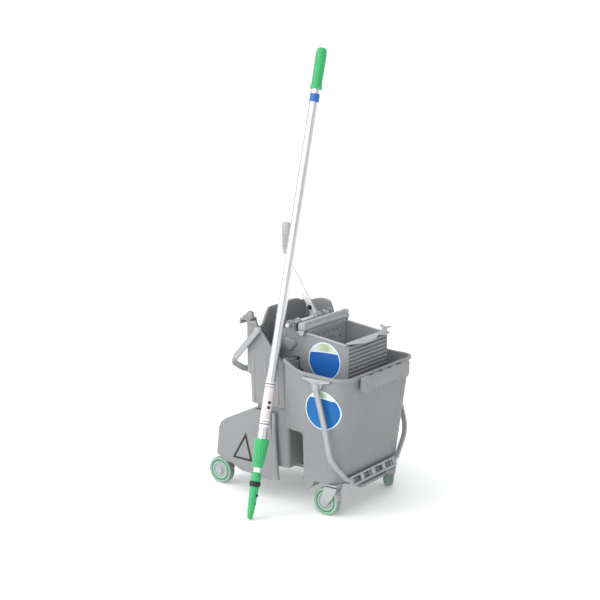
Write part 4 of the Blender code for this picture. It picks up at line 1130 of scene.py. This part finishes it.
def make_pole():
    axis = (POLE_TOP - POLE_TIP).normalized()
    length = (POLE_TOP - POLE_TIP).length
    sleeve, grip = "pole_sleeve", "pole_grip"

    def rod(name, profile, node, **edges):
        piece(name, turned(POLE_TIP, axis, profile, 56), node, **edges)

    def tube(name, profile, node, look=None, **edges):
        piece(name, turned_ring(POLE_TIP, axis, profile, 56), node, look, **edges)

    def stud(distance, toward, proud, profile, sides):
        """A small round part that stands out of the pole's side."""
        toward = (toward - axis * toward.dot(axis)).normalized()
        return turned(POLE_TIP + axis * distance + toward * proud, toward, profile, sides)

    rod("pole_cone", [(0, 5.6), (0.8, 6.8), (3, 7.2), (13, 7.8), (14.5, 8.6), (16, 8.9), (50, 10.5),
                      (82, 11.9), (84, 11.4)], "pole_tip_cone", angle=45)
    rod("pole_black_ring", [(84.3, 12.6), (85.2, 14.0), (87.0, 14.5), (94.5, 14.5), (96.6, 14.0),
                            (97.7, 12.6)], "pole_tip_ring", angle=40)
    rod("pole_socket", [(98, 12.0), (99, 13.0), (103, 13.5), (113, 13.0), (117.5, 12.2), (118.6, 10.8),
                        (121, 9.4)], "pole_tip_socket", angle=45)
    rod("pole_inner", [(121.3, 9.4), (121.6, 9.6), (length - 40, 9.6)], "pole_inner_tube", angle=45)
    end = length - 3
    tube("pole_outer", [(137.0, 9.9), (137.0, 12.0), (end, 12.0), (end, 9.9)], "pole_outer_tube", angle=45)

    def knurl(a):
        return 0.35 * cos(12 * a)

    rings = []
    for distance, radius in ((134, 12.4), (134.2, 13.0), (136, 13.6), (150, 14.9), (170, 16.6),
                             (190, 18.2), (199, 19.0), (204, 19.4), (207, 19.0), (208.6, 17.6),
                             (208.9, 15.0), (208.9, 12.5), (208.9, 12.3), (134, 12.3)):
        wave = knurl if 145 < distance < 200 else None
        rings.append(circle(POLE_TIP + axis * distance, axis, radius, 96, wave))
    piece("collar_body", ring_loft(rings), "twist_collar", angle=45)

    tube("pole_sticker", [(239, 12.2), (239.2, 12.85), (357.8, 12.85), (358, 12.2)], sleeve, angle=60)
    tube("pole_pink_field", [(263, 12.7), (263.1, 13.05), (336.9, 13.05), (337, 12.7)], sleeve,
         "pink_print", replace=False, angle=60)
    for foot, wide in ((246, 3.2), (253, 1.8), (343, 2.0), (350, 3.2)):
        stripe = [(foot, 12.7), (foot + 0.1, 13.0), (foot + wide, 13.0), (foot + wide + 0.1, 12.7)]
        tube(f"pole_sticker_stripe_{foot}", stripe, sleeve, "grey_print", replace=False, angle=60)
    # two plain dots stand where the sleeve carries its picture marks
    for k, distance in enumerate((291, 304)):
        dot = stud(distance, Vector((0.83, -0.55, 0.0)), 12.2, [(0, 4.2), (1.05, 4.2)], 24)
        detail(f"pole_sticker_dot_{k}", dot, sleeve, "black_part", angle=40)
    tube("pole_blue_band", [(1096, 12.2), (1096.3, 12.9), (1117.7, 12.9), (1118, 12.2)], "pole_band",
         angle=60)
    tube("pole_handle", [(1130, 12.3), (1130.3, 15.2), (1131.5, 16.4), (1134.5, 16.5), (1137, 15.4),
                         (1140, 14.5), (1150, 14.0), (1165, 13.9), (1185, 14.5), (1205, 14.9),
                         (1220, 14.8), (1228, 14.2), (1232, 13.2), (1232.8, 12.3)], grip, angle=45)
    ridge = [(0, 13.6), (0.6, 14.9), (1.6, 14.9), (2.2, 13.6)]
    ridges = [turned_ring(POLE_TIP, axis, [(foot + along, radius) for along, radius in ridge], 56)
              for foot in range(1148, 1213, 8)]
    detail("pole_handle_ridges", ridges, grip, angle=50)
    rod("pole_end_cap", [(1233, 12.2), (1235, 13.0), (1237.5, 12.4), (1239.6, 10.4), (1240.9, 7.4),
                         (1241.2, 0.01)], "pole_cap", angle=50)
    # the release button and a rivet below it
    ahead = Vector((1, 0, 0))
    button = stud(62, ahead, 7.5, [(0, 4.0), (5.0, 4.0), (6.2, 3.4), (6.7, 2.0)], 32)
    piece("pole_button", button, "tip_button", angle=40)
    rivet = stud(40, ahead, 8.0, [(0, 2.6), (3.2, 2.6), (4.0, 1.6)], 24)
    detail("pole_rivet", rivet, "pole_tip_cone", "black_part", angle=40)


# ---- assembly

def finish_rest():
    """Every CAD node that nothing stands for yet gets rounded edges and its material."""
    done = {node for obj in bpy.data.objects for node in obj.get("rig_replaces", [])}
    for node in SLOT_OF:
        if node not in done:
            refined(node)


def build():
    make_camera()
    make_studio()
    for name in ("rear_wheel_near", "rear_wheel_far", "caster_near", "caster_far"):
        make_wheel(name)
    for name in ("caster_near", "caster_far"):
        make_fork(name)
    for make in (make_front_bucket, make_bail_ears, make_pour_lip, make_skirts, make_rear_bucket,
                 make_corner_hook, make_casing, make_wringer, make_louvres, make_flap, make_bosses,
                 make_press, make_front_bail, make_rear_bail, make_labels, make_lever, make_pole,
                 finish_rest):
        make()


build()
